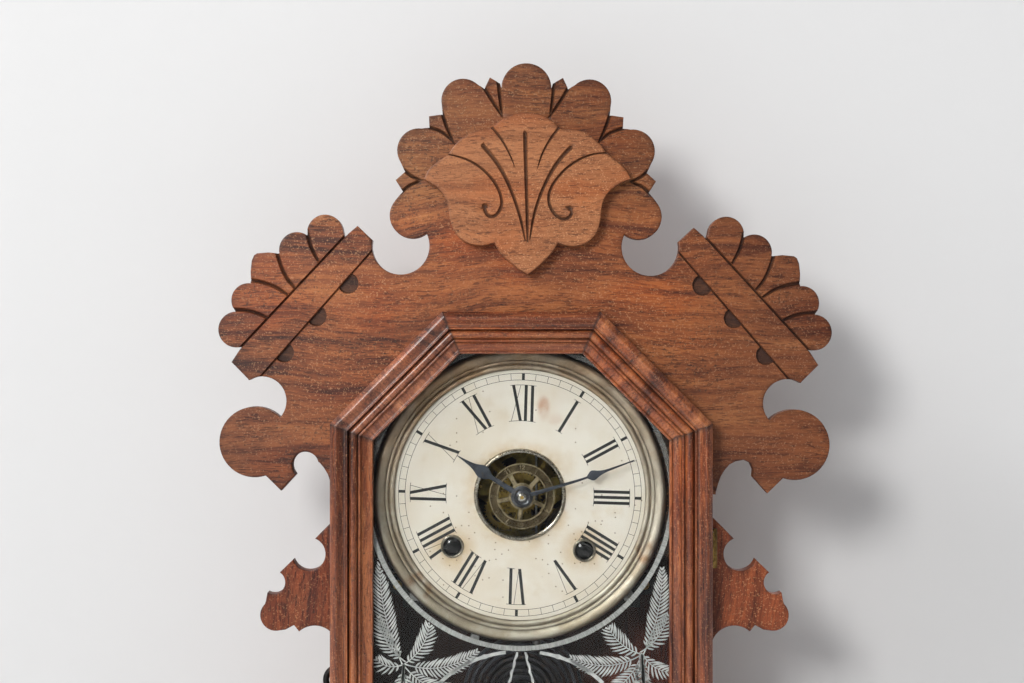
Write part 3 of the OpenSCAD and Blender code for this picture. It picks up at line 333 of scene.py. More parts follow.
def plate_material():
    """Movement plates: lacquered brass near the middle; towards the ends near black, partly old oil and dust, partly
    painted shade of the closed case.
    """
    m = Mat("brass_plate_grime_and_shade")
    n1 = m.noise(m.mapping(scale=(60, 60, 60)), 1.0, 5.0, 0.6, 0.3)
    n2 = m.noise(m.mapping(scale=(620, 620, 620)), 1.0, 3.0, 0.6)
    col = m.mix(m.range(n1, 0.38, 0.66), rgb(124, 108, 58), rgb(56, 47, 28))
    col = m.mix(m.range(n2, 0.5, 0.72, 0.0, 0.4), col, rgb(60, 50, 34))
    far = m.math("ADD", m.dist_xz(MX * MM, MZ * MM), m.math("MULTIPLY", m.math("SUBTRACT", n1, 0.5), 0.02))
    col = m.mix(m.range(far, 0.026, 0.05), col, rgb(24, 21, 18))
    m.set(Base_Color=col)
    m.set(Metallic=m.range(far, 0.03, 0.055, 0.95, 0.15))
    m.set(Roughness=m.math("ADD", m.range(far, 0.03, 0.055, 0.36, 0.6), m.math("MULTIPLY", m.math("SUBTRACT", n2, 0.5), 0.2)))
    m.set(Normal=m.bump(n2, 0.15, 0.0001))
    return m.m


plate_mat = plate_material()
brass_hinge = metal("brass_hinge", rgb(150, 122, 72), rgb(98, 78, 48), 0.42, rgb(62, 50, 36), 90)
steel_part = metal("steel_parts", rgb(150, 150, 148), rgb(104, 102, 98), 0.36, rgb(92, 74, 60), 80)
spring_mat = metal("spring_blue_grey", rgb(82, 84, 90), rgb(56, 56, 58), 0.34, rgb(70, 56, 46), 60)
gong_mat = metal("gong_steel_dark", rgb(64, 64, 68), rgb(40, 40, 42), 0.36, rgb(66, 52, 42), 50)
iron_mat = metal("iron_dark", rgb(46, 45, 45), rgb(30, 29, 29), 0.5, rgb(60, 46, 38), 80, metallic=0.75, bump=0.3)
tin_mat = metal("dial_tin_plate", rgb(168, 164, 152), rgb(126, 120, 106), 0.44, rgb(112, 92, 70), 45)
disc_mat = metal("disc_brass_old", rgb(158, 144, 114), rgb(104, 91, 68), 0.42, rgb(64, 56, 44), 130, bump=0.35)
hand_mat = metal("hand_blue_black", rgb(66, 70, 78), rgb(46, 48, 54), 0.42, rgb(72, 66, 60), 110, metallic=0.55, bump=0.2)
nut_mat = metal("nut_nickel", rgb(214, 212, 206), rgb(168, 164, 154), 0.22, rgb(140, 128, 110), 160)


def bezel_material():
    m = Mat("bezel_nickel_worn")
    x, y, z = m.xyz()
    n1 = m.noise(m.mapping(scale=(26, 26, 26)), 1.0, 5.0, 0.6, 0.5)
    n2 = m.noise(m.mapping(scale=(420, 420, 420)), 1.0, 3.0, 0.6)
    n3 = m.noise(m.mapping(loc=(7, 3, 5), scale=(60, 60, 60)), 1.0, 4.0, 0.62, 0.3)
    grey = m.mix(m.range(n1, 0.35, 0.68), rgb(196, 190, 176), rgb(150, 138, 118))
    # partly tarnish, partly painted reflection: the upper part is browner, taking the brown of the case wood above; the
    # lower part shows more of its nickel
    up = m.range(z, 0.236, 0.372)
    tarnish_and_reflection = m.mix(m.range(n3, 0.40, 0.66), rgb(150, 124, 96), rgb(118, 94, 70))
    col = m.mix(m.math("MULTIPLY", up, m.range(n1, 0.25, 0.6, 0.55, 1.0)), grey, tarnish_and_reflection)
    rust = m.noise(m.mapping(loc=(1.0, 9.0, 2.0), scale=(34, 34, 34)), 1.0, 3.0, 0.55, 0.2)
    col = m.mix(m.range(rust, 0.60, 0.72, 0.0, 0.8), col, rgb(128, 92, 56))
    # turned lines; grime at the inner edge and in the grooves, and painted shade on the outer flank, from the wear
    # attribute
    ring = m.node("ShaderNodeTexWave", wave_type="RINGS", rings_direction="Y", wave_profile="SIN")
    m.put(ring.inputs["Vector"], m.mapping(loc=(-DCX * MM, 0, -0.300)))
    ring.inputs["Scale"].default_value = 260.0
    ring.inputs["Distortion"].default_value = 0.6
    ring.inputs["Detail"].default_value = 1.0
    cav, edge, tone = m.attr("wear")
    col = m.mix(m.math("MULTIPLY", cav, 0.85), col, rgb(74, 60, 46))
    m.set(Base_Color=col)
    m.bsdf.inputs["Metallic"].default_value = 0.72
    rr = m.math("ADD", m.math("MULTIPLY", n3, 0.2), 0.42)
    rr = m.math("ADD", rr, m.math("MULTIPLY", up, 0.08))
    m.set(Roughness=m.math("ADD", rr, m.math("MULTIPLY", m.math("SUBTRACT", n2, 0.5), 0.2), True))
    h = m.math("ADD", m.math("MULTIPLY", ring.outputs["Fac"], 0.2), m.math("MULTIPLY", n2, 0.6))
    m.set(Normal=m.bump(h, 0.16, 0.00012))
    return m.m


def paper_material():
    m = Mat("dial_paper_old")
    r = m.dist_xz(DCX * MM, 0.300)
    n1 = m.noise(m.mapping(scale=(24, 24, 24)), 1.0, 5.0, 0.6, 0.3)
    n2 = m.noise(m.mapping(loc=(5, 1, 2), scale=(85, 85, 85)), 1.0, 4.0, 0.6)
    fib = m.noise(m.mapping(scale=(2600, 2600, 2600)), 1.0, 2.0, 0.6)
    col = m.mix(m.range(n1, 0.34, 0.68), rgb(219, 212, 201), rgb(212, 201, 184))
    col = m.mix(m.range(n2, 0.5, 0.78, 0.0, 0.5), col, rgb(204, 188, 163))
    # yellowed ring round the open centre, and a greyed rim
    inner = m.math("MULTIPLY", m.range(r, 0.027, 0.038, 1.0, 0.0), m.range(n2, 0.34, 0.58, 0.25, 1.0))
    col = m.mix(m.math("MULTIPLY", inner, 0.66), col, rgb(196, 170, 132))
    rim = m.range(r, 0.067, 0.0765, 0.0, 0.45)
    col = m.mix(rim, col, rgb(206, 200, 186))
    # smear beside the twelve and stains round the winding holes
    sm = m.math("MULTIPLY", m.range(m.dist_xz(0.0126, 0.3525, 0.0045, 0.0085), 0.35, 1.15, 1.0, 0.0), m.range(n2, 0.3, 0.6, 0.35, 1.0))
    col = m.mix(m.math("MULTIPLY", sm, 0.9), col, rgb(184, 142, 116))
    sm2 = m.math("MULTIPLY", m.range(m.dist_xz(0.0195, 0.346, 0.006, 0.0042), 0.3, 1.2, 1.0, 0.0), m.range(n2, 0.3, 0.6, 0.2, 1.0))
    col = m.mix(m.math("MULTIPLY", sm2, 0.45), col, rgb(200, 170, 150))
    for s in (-1, 1):
        st = m.math("MULTIPLY", m.range(m.dist_xz(-0.0026 + 0.040 * s, 0.2675), 0.0065, 0.018, 1.0, 0.0), m.range(n2, 0.34, 0.56, 0.3, 1.0))
        col = m.mix(m.math("MULTIPLY", st, 0.66), col, rgb(190, 162, 122))
    # fly specks, more of them near the holes
    px_, py_, pz_ = m.xyz()
    flat = m.node("ShaderNodeCombineXYZ")
    m.put(flat.inputs[0], px_)
    m.put(flat.inputs[1], pz_)
    vo = m.node("ShaderNodeTexVoronoi", voronoi_dimensions="2D")
    m.put(vo.inputs["Vector"], flat.outputs[0])
    vo.inputs["Scale"].default_value = 250.0
    pick = m.node("ShaderNodeSeparateColor")
    m.put(pick.inputs[0], vo.outputs["Color"])
    near = m.math("MAXIMUM", m.range(m.dist_xz(-0.030, 0.268), 0.012, 0.032, 0.3, 0.025), m.range(m.dist_xz(0.030, 0.268), 0.012, 0.032, 0.3, 0.025))
    keep = m.math("GREATER_THAN", m.math("ADD", pick.outputs[0], near), 0.985)
    dot = m.math("MULTIPLY", m.range(vo.outputs["Distance"], 0.05, 0.15, 1.0, 0.0), keep)
    col = m.mix(m.math("MULTIPLY", dot, 0.85), col, rgb(104, 80, 56))
    m.set(Base_Color=col)
    m.set(Roughness=m.range(n1, 0.3, 0.7, 0.62, 0.8))
    m.bsdf.inputs["Specular IOR Level"].default_value = 0.3
    m.set(Normal=m.bump(m.math("ADD", m.math("MULTIPLY", fib, 0.4), n2), 0.12, 0.0001))
    return m.m


def ink_material():
    m = Mat("dial_ink")
    n = m.noise(m.mapping(scale=(700, 700, 700)), 1.0, 3.0, 0.6)
    m.set(Base_Color=m.mix(m.range(n, 0.45, 0.75), rgb(20, 21, 20), rgb(40, 39, 37)))
    m.set(Roughness=m.range(n, 0.3, 0.7, 0.5, 0.66))
    return m.m


def stencil_material():
    m = Mat("glass_stencil_silver")
    n = m.noise(m.mapping(scale=(260, 260, 260)), 1.0, 4.0, 0.65)
    f = m.noise(m.mapping(scale=(2200, 2200, 2200)), 1.0, 2.0, 0.6)
    col = m.mix(m.range(n, 0.36, 0.66), rgb(196, 196, 194), rgb(166, 167, 166))
    m.set(Base_Color=col)
    m.bsdf.inputs["Metallic"].default_value = 0.1
    m.set(Roughness=m.range(f, 0.3, 0.7, 0.42, 0.62))
    m.set(Normal=m.bump(f, 0.2, 0.0001))
    return m.m


def frost_material():
    m = Mat("glass_frost_ring")
    n = m.noise(m.mapping(scale=(700, 700, 700)), 1.0, 3.0, 0.6)
    cav, edge, tone = m.attr("wear")
    m.set(Base_Color=m.mix(cav, rgb(164, 164, 161), rgb(186, 186, 183)))
    m.set(Roughness=m.range(n, 0.3, 0.7, 0.5, 0.7))
    x, y, z = m.xyz()
    low = m.range(z, 0.262, 0.33, 1.0, 0.22)
    m.set(Alpha=m.math("MULTIPLY", low, m.math("ADD", m.math("MULTIPLY", cav, 0.14), m.range(n, 0.3, 0.7, 0.52, 0.66))))
    return m.m


def glass_material():
    m = Mat("door_glass_clear")
    m.set(Base_Color=(0.97, 0.985, 0.975, 1), IOR=1.22)
    m.bsdf.inputs["Transmission Weight"].default_value = 1.0
    w = m.noise(m.mapping(scale=(30, 30, 30)), 1.0, 3.0, 0.5)
    m.set(Roughness=m.range(w, 0.35, 0.7, 0.0, 0.006))
    tr = m.node("ShaderNodeBsdfTransparent")
    tr.inputs[0].default_value = (0.72, 0.73, 0.725, 1)
    mx = m.node("ShaderNodeMixShader")
    lp = m.node("ShaderNodeLightPath")
    m.nt.links.new(lp.outputs["Is Shadow Ray"], mx.inputs[0])
    m.nt.links.new(m.bsdf.outputs[0], mx.inputs[1])
    m.nt.links.new(tr.outputs[0], mx.inputs[2])
    m.nt.links.new(mx.outputs[0], m.out.inputs[0])
    return m.m


bezel_mat = bezel_material()
paper_mat = paper_material()
ink_mat = ink_material()
stencil_mat = stencil_material()
frost_mat = frost_material()
glass_mat = glass_material()


# ------------------------------------------------------------------ mesh helpers (millimetres in, metres out)
def make(name, verts, faces, mat, body, replaces=(), wear=None, sharp=35.0, smooth=True):
    me = bpy.data.meshes.new(name)
    me.from_pydata([(v[0] * MM, v[1] * MM, v[2] * MM) for v in verts], [], faces)
    me.update()
    if wear is not None:
        at = me.attributes.new("wear", "FLOAT_COLOR", "POINT")
        for i, w in enumerate(wear):
            at.data[i].color = (w[0], w[1], w[2] if len(w) > 2 else 0.0, 1.0)
    if smooth:
        me.shade_smooth()
        me.set_sharp_from_angle(angle=math.radians(sharp))
    me.materials.append(mat)
    ob = bpy.data.objects.new(name, me)
    scene.collection.objects.link(ob)
    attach(ob, body)
    if replaces:
        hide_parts(*replaces)
    return ob


def catmull(pts, step):
    """Points along a smooth curve through pts, about step apart."""
    if len(pts) == 2:
        return divide(pts[0], pts[1], step)
    out = []
    n = len(pts)
    for i in range(n - 1):
        p0 = Vector(pts[max(i - 1, 0)][:2])
        p1 = Vector(pts[i][:2])
        p2 = Vector(pts[i + 1][:2])
        p3 = Vector(pts[min(i + 2, n - 1)][:2])
        k = max(1, int(math.ceil((p2 - p1).length / step)))
        for j in range(k):
            t = j / k
            q = 0.5 * ((2 * p1) + (p2 - p0) * t + (2 * p0 - 5 * p1 + 4 * p2 - p3) * t * t + (3 * p1 - p0 - 3 * p2 + p3) * t ** 3)
            out.append((q.x, q.y))
    out.append((pts[-1][0], pts[-1][1]))
    return out


def divide(a, b, step):
    k = max(1, int(math.ceil(math.dist(a[:2], b[:2]) / step)))
    return [(a[0] + (b[0] - a[0]) * j / k, a[1] + (b[1] - a[1]) * j / k) for j in range(k + 1)]


def area(loop):
    return 0.5 * sum(loop[i][0] * loop[(i + 1) % len(loop)][1] - loop[(i + 1) % len(loop)][0] * loop[i][1] for i in range(len(loop)))


def cad_loops(node, y, tol=0.02):
    """Outlines of a CAD node's flat faces that lie at y, each a list of (x, z), anticlockwise from the front."""
    me = NODE[node].data
    use = {}
    where = {}
    for p in me.polygons:
        vs = [me.vertices[i].co for i in p.vertices]
        if all(abs(v.y / MM - y) < tol for v in vs):
            ks = [(round(v.x / MM, 3), round(v.z / MM, 3)) for v in vs]
            for i in range(len(ks)):
                e = (ks[i], ks[(i + 1) % len(ks)])
                use[e] = use.get(e, 0) + 1
    nxt = {}
    for (a, b) in use:
        if (b, a) not in use:
            nxt[a] = b
    loops = []
    while nxt:
        a = next(iter(nxt))
        loop = [a]
        b = nxt.pop(a)
        while b != a and b in nxt:
            loop.append(b)
            b = nxt.pop(b)
        if area(loop) < 0:
            loop.reverse()
        loops.append(loop)
    loops.sort(key=lambda l: -abs(area(l)))
    return loops


def densify(loop, step):
    out = []
    for i in range(len(loop)):
        seg = divide(loop[i], loop[(i + 1) % len(loop)], step)
        out += seg[:-1]
    return out


def resample(path, step):
    """The same polyline with even spacing."""
    total = sum(math.dist(path[i], path[i + 1]) for i in range(len(path) - 1))
    k = max(2, int(round(total / step)))
    out = [path[0]]
    want = total / k
    acc = 0.0
    target = want
    for i in range(len(path) - 1):
        a, b = path[i], path[i + 1]
        L = math.dist(a, b)
        while L > 0 and acc + L >= target - 1e-9 and len(out) < k:
            t = (target - acc) / L
            out.append((a[0] + (b[0] - a[0]) * t, a[1] + (b[1] - a[1]) * t))
            target += want
        acc += L
    out.append(path[-1])
    return out


class Cut:
    """A groove: its middle line, half width and depth along it."""

    def __init__(self, pts, w, depth, ends=(1.0, 1.0), curve=True, pw=2.4):
        line = catmull(pts, 0.3) if curve and len(pts) > 2 else divide(pts[0], pts[-1], 0.3)
        self.line = resample(line, 0.3)
        n = len(self.line)
        self.hw = []
        self.dp = []
        for i in range(n):
            t = i / (n - 1)
            ww = w if not isinstance(w, (list, tuple)) else w[0] + (w[1] - w[0]) * t
            f = min(1.0, ends[0] + (1 - ends[0]) * min(1, t * 6), ends[1] + (1 - ends[1]) * min(1, (1 - t) * 6))
            self.hw.append(ww / 2 * (0.55 + 0.45 * f))
            self.dp.append(depth * f)
        self.pw = pw


def relief(name, loop, y_front, y_back, mat, body, cuts=(), extra=None, extra_pts=(), replaces=(),
           step=0.9, fill=3.2, rr=0.7, seed=0, edge_w=3.0, back_r=0.35, uneven=0.05):
    """A board with a shaped outline, eased edges and carved lines. extra(x, z) gives more depth at a point."""
    outline = densify(loop, step)
    n0 = len(outline)
    tree = kdtree.KDTree(n0)
    for i, p in enumerate(outline):
        tree.insert((p[0], p[1], 0), i)
    tree.balance()
    # samples of the grooves
    samp = []
    for c in cuts:
        for p, h, d in zip(c.line, c.hw, c.dp):
            samp.append((p, h, d, c.pw))
    gtree = None
    if samp:
        gtree = kdtree.KDTree(len(samp))
        for i, s in enumerate(samp):
            gtree.insert((s[0][0], s[0][1], 0), i)
        gtree.balance()
    big_w = max([s[1] for s in samp], default=0) * 1.05 + 0.01

    def groove(x, z):
        best = 0.0
        share = 0.0
        if gtree:
            for co, idx, dist in gtree.find_range((x, z, 0), big_w):
                _, h, d, pw = samp[idx]
                if dist < h:
                    q = 1 - (dist / h) ** pw
                    if d * q > best:
                        best = d * q
                        share = q
        return best, share

    def radius(x, z):
        return rr * (0.75 + 0.5 * noise.noise(Vector((x * 0.09, z * 0.09, seed + 3.3))))

    bb = [min(p[0] for p in loop), max(p[0] for p in loop), min(p[1] for p in loop), max(p[1] for p in loop)]

    def inside(x, z):
        c = False
        j = len(loop) - 1
        for i in range(len(loop)):
            xi, zi = loop[i]
            xj, zj = loop[j]
            if (zi > z) != (zj > z) and x < (xj - xi) * (z - zi) / (zj - zi) + xi:
                c = not c
            j = i
        return c

    pts = [Vector((p[0], p[1])) for p in outline]
    rows = []
    # rows that follow the edge
    for k, dd in enumerate((0.12, 0.34, 0.7, 1.4)):
        d = dd * rr / 0.7
        for i in range(n0):
            a, b, c = pts[i - 1], pts[i], pts[(i + 1) % n0]
            e1 = (b - a).normalized()
            e2 = (c - b).normalized()
            nrm = Vector((-(e1.y + e2.y), e1.x + e2.x))
            if nrm.length < 1e-6:
                continue
            nrm.normalize()
            cosv = max(0.35, nrm.dot(Vector((-e2.y, e2.x))))
            if k == 3 and i % 2:
                continue
            q = b + nrm * (d / cosv)
            near = tree.find((q.x, q.y, 0))[2]
            if near < d * 0.9:
                continue
            rows.append((q.x, q.y))
    # rows that follow the grooves
    for c in cuts:
        line = resample(c.line, 0.75)
        m = len(line)
        for i in range(m):
            a = Vector(line[max(i - 1, 0)])
            b = Vector(line[min(i + 1, m - 1)])
            t = (b - a)
            if t.length < 1e-9:
                continue
            t.normalize()
            nn = Vector((-t.y, t.x))
            hw = c.hw[min(len(c.hw) - 1, int(i / (m - 1) * (len(c.hw) - 1) + 0.5))]
            for f in (-1.3, -1.0, -0.78, -0.45, 0.0, 0.45, 0.78, 1.0, 1.3):
                q = Vector(line[i]) + nn * hw * f
                rows.append((q.x, q.y))
    rows += list(extra_pts)
    cell = {}
    kept = []

    def key(x, z, s=0.24):
        return (int(math.floor(x / s)), int(math.floor(z / s)))

    for p in outline:
        cell.setdefault(key(*p), []).append(p)
    ok_rows = []
    for p in rows:
        if not (bb[0] < p[0] < bb[1] and bb[2] < p[1] < bb[3]):
            continue
        k0 = key(*p)
        hit = False
        for dx in (-1, 0, 1):
            for dz in (-1, 0, 1):
                for q in cell.get((k0[0] + dx, k0[1] + dz), ()):
                    if (q[0] - p[0]) ** 2 + (q[1] - p[1]) ** 2 < 0.09 ** 2:
                        hit = True
                        break
                if hit:
                    break
            if hit:
                break
        if hit:
            continue
        cell.setdefault(k0, []).append(p)
        ok_rows.append(p)
    rtree = kdtree.KDTree(len(ok_rows) + n0)
    for i, p in enumerate(ok_rows):
        rtree.insert((p[0], p[1], 0), i)
    for i, p in enumerate(outline):
        rtree.insert((p[0], p[1], 0), i)
    rtree.balance()
    ok_rows = [p for p in ok_rows if inside(*p)]
    # a loose net of points over the rest
    rg = random.Random(seed + 11)
    z = bb[2]
    r = 0
    while z < bb[3]:
        x = bb[0] + (fill / 2 if r % 2 else 0)
        while x < bb[1]:
            px, pz = x + rg.uniform(-0.2, 0.2) * fill, z + rg.uniform(-0.2, 0.2) * fill
            if rtree.find((px, pz, 0))[2] > fill * 0.42 and inside(px, pz):
                kept.append((px, pz))
            x += fill
        z += fill * 0.87
        r += 1
    allp = [Vector(p) for p in outline] + [Vector(p) for p in ok_rows] + [Vector(p) for p in kept]
    res = geometry.delaunay_2d_cdt(allp, [(i, (i + 1) % n0) for i in range(n0)], [list(range(n0))], 1, 1e-7, True)
    vco, _, tris, orig = res[0], res[1], res[2], res[3]
    verts, wear = [], []
    place = {}
    for i, p in enumerate(vco):
        x, z = p.x, p.y
        d = tree.find((x, z, 0))[2]
        is_edge = False
        for o in orig[i]:
            if o < n0:
                place[o] = i
                is_edge = True
        if is_edge:
            d = 0.0
        rad = radius(x, z)
        depth = 0.0
        if d < rad:
            depth = rad - math.sqrt(max(0.0, rad * rad - (rad - d) ** 2))
        g, share = groove(x, z)
        cav = share
        if extra:
            e, ec = extra(x, z)
            if e > g:
                g = e
                cav = max(cav, ec)
        depth = max(depth, g) if g > 0 else depth
        depth += uneven * (0.5 + 0.5 * noise.noise(Vector((x * 0.03, z * 0.05, seed))))
        verts.append((x, y_front + depth, z))
        wear.append((cav, max(0.0, 1.0 - d / edge_w), 0.0))
    faces = []
    for t, src in zip(tris, res[5]):
        a = area([(vco[i].x, vco[i].y) for i in t])
        if abs(a) < 1e-9 or not src:
            continue
        faces.append(tuple(t) if a > 0 else tuple(reversed(t)))
    # walls and back
    ring = [place[i] for i in range(n0)]
    base = len(verts)
    for i in range(n0):
        x, z = outline[i]
        verts.append((x, y_back - back_r, z))
        wear.append((0.25, 0.6, 0.0))
    inner = len(verts)
    for i in range(n0):
        a, b, c = pts[i - 1], pts[i], pts[(i + 1) % n0]
        e1 = (b - a).normalized()
        e2 = (c - b).normalized()
        nrm = Vector((-(e1.y + e2.y), e1.x + e2.x))
        nrm = nrm.normalized() if nrm.length > 1e-6 else Vector((0, 0))
        q = b + nrm * back_r
        verts.append((q.x, y_back, q.y))
        wear.append((0.0, 0.6, 0.0))
    for i in range(n0):
        j = (i + 1) % n0
        faces.append((ring[i], base + i, base + j, ring[j]))
        faces.append((base + i, inner + i, inner + j, base + j))
    bl = [Vector((verts[inner + i][0], verts[inner + i][2])) for i in range(n0)]
    rb = geometry.delaunay_2d_cdt(bl, [(i, (i + 1) % n0) for i in range(n0)], [list(range(n0))], 1, 1e-7, True)
    idx = {}
    for i, o in enumerate(rb[3]):
        if o:
            idx[i] = inner + o[0]
        else:
            idx[i] = len(verts)
            verts.append((rb[0][i].x, y_back, rb[0][i].y))
            wear.append((0, 0, 0))
    for t, src in zip(rb[2], rb[5]):
        a = area([(rb[0][i].x, rb[0][i].y) for i in t])
        if abs(a) < 1e-9 or not src:
            continue
        tt = tuple(idx[i] for i in t)
        faces.append(tuple(reversed(tt)) if a > 0 else tt)
    return make(name, verts, faces, mat, body, replaces, wear, sharp=38)


def mirrored(pts):
    return [(-p[0], p[1]) for p in pts]


LC, LS = math.cos(math.radians(0.3)), math.sin(math.radians(0.3))


def lean(p):
    """The crest stands a little to the right and leans that way."""
    x, z = p[0], p[1] - 330
    return (x * LC + z * LS + 0.9, z * LC - x * LS + 330)


def unlean(x, z):
    x, z = x - 0.9, z - 330
    return (x * LC - z * LS, z * LC + x * LS + 330)


# ------------------------------------------------------------------ crest board
crest_loop = cad_loops("crest_board", -21.0)[0]
cuts = []
top = [
    [(25.6, 545.6), (20.0, 536.6), (14.4, 528.2)], [(16.9, 549.4), (15.7, 538.0), (14.6, 529.6)],
    [(50.6, 530.2), (47.6, 521.4), (43.6, 512.4)], [(59.2, 521.4), (50.6, 518.4), (43.8, 512.8)],
    [(72.9, 495.4), (68.4, 491.6), (62.8, 489.4)], [(74.8, 481.8), (70.0, 486.0), (63.4, 488.9)],
]
wing = [
    [(131.2, 458.3), (128.8, 449.3), (124.5, 440.9)], [(149.5, 446.4), (146.2, 436.5), (142.6, 429.5), (138.2, 424.3)],
    [(166.2, 429.1), (157.7, 427.6), (150.1, 424.9), (143.0, 420.5)], [(177.6, 411.3), (168.2, 410.8), (161.2, 409.2), (154.8, 406.4)],
]
band = [[(107.4, 456.8), (139.6, 421.9), (171.6, 387.6)], [(91.6, 447.4), (125.4, 409.0), (158.6, 371.1)]]
for s in (0, 1):
    def f(g, s=s):
        return [lean(q) for q in (mirrored(g) if s else g)]

    for g in top:
        cuts.append(Cut(f(g), (2.7, 2.0), 2.0, (1.0, 0.5), pw=1.7))
    for g in wing:
        cuts.append(Cut(f(g), (2.9, 2.4), 2.0, (1.0, 0.75), pw=1.7))
    cuts.append(Cut(f(band[0]), 1.7, 1.9, (1.0, 1.0), curve=False, pw=1.8))
    cuts.append(Cut(f(band[1]), 1.5, 1.4, (1.0, 1.0), curve=False, pw=1.4))

b0, b1 = Vector((93.0, 445.9)), Vector((157.0, 372.9))
bt = (b1 - b0).normalized()
bn = Vector((-bt.y, bt.x))
if bn.x < 0:
    bn = -bn
gouges = [(Vector((106.4, 427.3)), 6.2), (Vector((125.3, 407.7)), 6.1), (Vector((144.6, 385.6)), 6.0)]


def thumb(x, z):
    p = Vector(unlean(x, z))
    p.x = abs(p.x)
    if not 95 < p.x < 155:
        return 0.0, 0.0
    s = (p - b0).dot(bn)
    if s > 0.1:
        return 0.0, 0.0
    for c, r in gouges:
        d = (p - c).length
        if d < r:
            # a flat floor that falls a little towards the band, and a steep round wall
            dep = 2.7 * min(1.0, (r - d) / 0.55) * (0.85 + 0.15 * max(0.0, 1 + s / (2 * r)))
            # painted shadow: the floor is darker still next to the band, where the band's shadow falls
            near = max(0.0, 1 + s / 2.2)
            return dep, 0.86 + 0.14 * near
    return 0.0, 0.0


gp = []
for c, r in gouges:
    for k in (0.2, 0.45, 0.7, 0.86, 0.91, 0.96, 1.0, 1.05):
        m = int(12 + 44 * k)
        for i in range(m):
            a = 2 * math.pi * i / m
            q = c + Vector((math.cos(a), math.sin(a))) * r * k
            gp.append(lean(q))
            gp.append(lean((-q.x, q.y)))
    u = (c - b0).dot(bt)
    for off in (-0.12, 0.12, 0.5, 1.2):
        for i in range(25):
            q = b0 + bt * (u + (i - 12) * 0.52) + bn * -off
            gp.append(lean(q))
            gp.append(lean((-q.x, q.y)))

relief("crest_board_carved", crest_loop, -30.0, -21.0, wood_crest, "case", cuts, thumb, gp,
       replaces=("crest_board",), seed=1, rr=0.75)


# ------------------------------------------------------------------ tulip ornament
def tp(cx, cy, dx=0.7):
    """A place on the tulip's face, from its place in the view."""
    return (-6.6 + (420 + cx / 7.127 - 512) * 0.594 + dx, 392.9 + (341.5 - 100 - cy / 7.127) * 0.594)


seg = [
    [(480, 210), (540, 163), (600, 124), (660, 100), (720, 89), (780, 88), (840, 98), (890, 118), (940, 150), (1000, 208)],
    [(1000, 208), (1080, 209), (1150, 225), (1200, 250), (1250, 290), (1290, 330), (1320, 376)],
    [(1320, 376), (1345, 397), (1390, 430), (1430, 465), (1468, 510), (1494, 562)],
    [(1494, 562), (1450, 578), (1400, 604), (1350, 642), (1312, 692), (1290, 750), (1281, 820), (1270, 890), (1248, 950), (1206, 998),
     (1150, 1030), (1090, 1042), (1030, 1036), (975, 1018)],
    [(975, 1018), (955, 1054), (920, 1103), (870, 1155), (810, 1208), (760, 1246)],
    [(760, 1246), (700, 1208), (640, 1160), (580, 1108), (543, 1062), (522, 1020)],
    [(522, 1020), (450, 1035), (390, 1034), (330, 1018), (280, 988), (240, 940), (214, 880), (200, 820), (190, 760), (174, 710),
     (150, 665), (112, 626), (62, 590), (20, 562)],
    [(20, 562), (50, 500), (90, 460), (130, 430), (192, 388)],
    [(192, 388), (215, 350), (250, 308), (300, 264), (360, 230), (420, 213), (480, 210)],
]
tloop = []
for s in seg:
    tloop += catmull([tp(*p) for p in s], 0.8)[:-1]
if area(tloop) < 0:
    tloop.reverse()
tc = [
    Cut([tp(*p) for p in [(180, 384), (250, 400), (310, 418), (370, 446), (430, 487), (482, 536), (524, 588), (553, 641), (570, 692), (574, 742),
                          (557, 790), (530, 821), (500, 831), (472, 818), (457, 790), (453, 768)]], (1.3, 2.5), 1.7, (0.5, 1.0)),
    Cut([tp(*p) for p in [(1330, 378), (1262, 380), (1190, 396), (1118, 428), (1040, 482), (980, 545), (936, 607), (912, 670), (912, 730), (930, 780),
                          (962, 822), (1002, 845), (1040, 844), (1066, 822), (1074, 796), (1060, 776)]], (1.3, 2.5), 1.7, (0.5, 1.0)),
    Cut([tp(*p) for p in [(440, 325), (490, 382), (545, 455), (595, 540), (640, 640), (680, 750), (712, 860), (742, 1000)]], (3.0, 1.5), 1.9, (1.0, 0.4)),
    Cut([tp(*p) for p in [(1070, 335), (1015, 392), (955, 470), (900, 565), (855, 665), (820, 765), (794, 870), (776, 990)]], (3.0, 1.5), 1.9, (1.0, 0.4)),
    Cut([tp(*p) for p in [(742, 232), (745, 400), (750, 600), (755, 800), (759, 1008)]], (2.9, 1.9), 1.9, (1.0, 0.4)),
    Cut([tp(*p) for p in [(500, 188), (555, 255), (600, 325), (635, 395), (662, 462)]], (2.1, 1.0), 1.4, (1.0, 0.3)),
    Cut([tp(*p) for p in [(990, 188), (935, 258), (890, 330), (856, 402), (832, 478)]], (2.1, 1.0), 1.4, (1.0, 0.3)),
    Cut([tp(*p) for p in [(446, 760), (454, 754), (464, 756)]], 3.6, 1.9, curve=True),
    Cut([tp(*p) for p in [(1050, 770), (1058, 766), (1066, 772)]], 3.4, 1.9, curve=True),
]
relief("crest_tulip_carved", tloop, -39.0, -30.0, wood_tulip, "case", tc, replaces=("crest_ornament",),
       seed=5, rr=0.8, step=0.7, fill=2.6, edge_w=1.6)

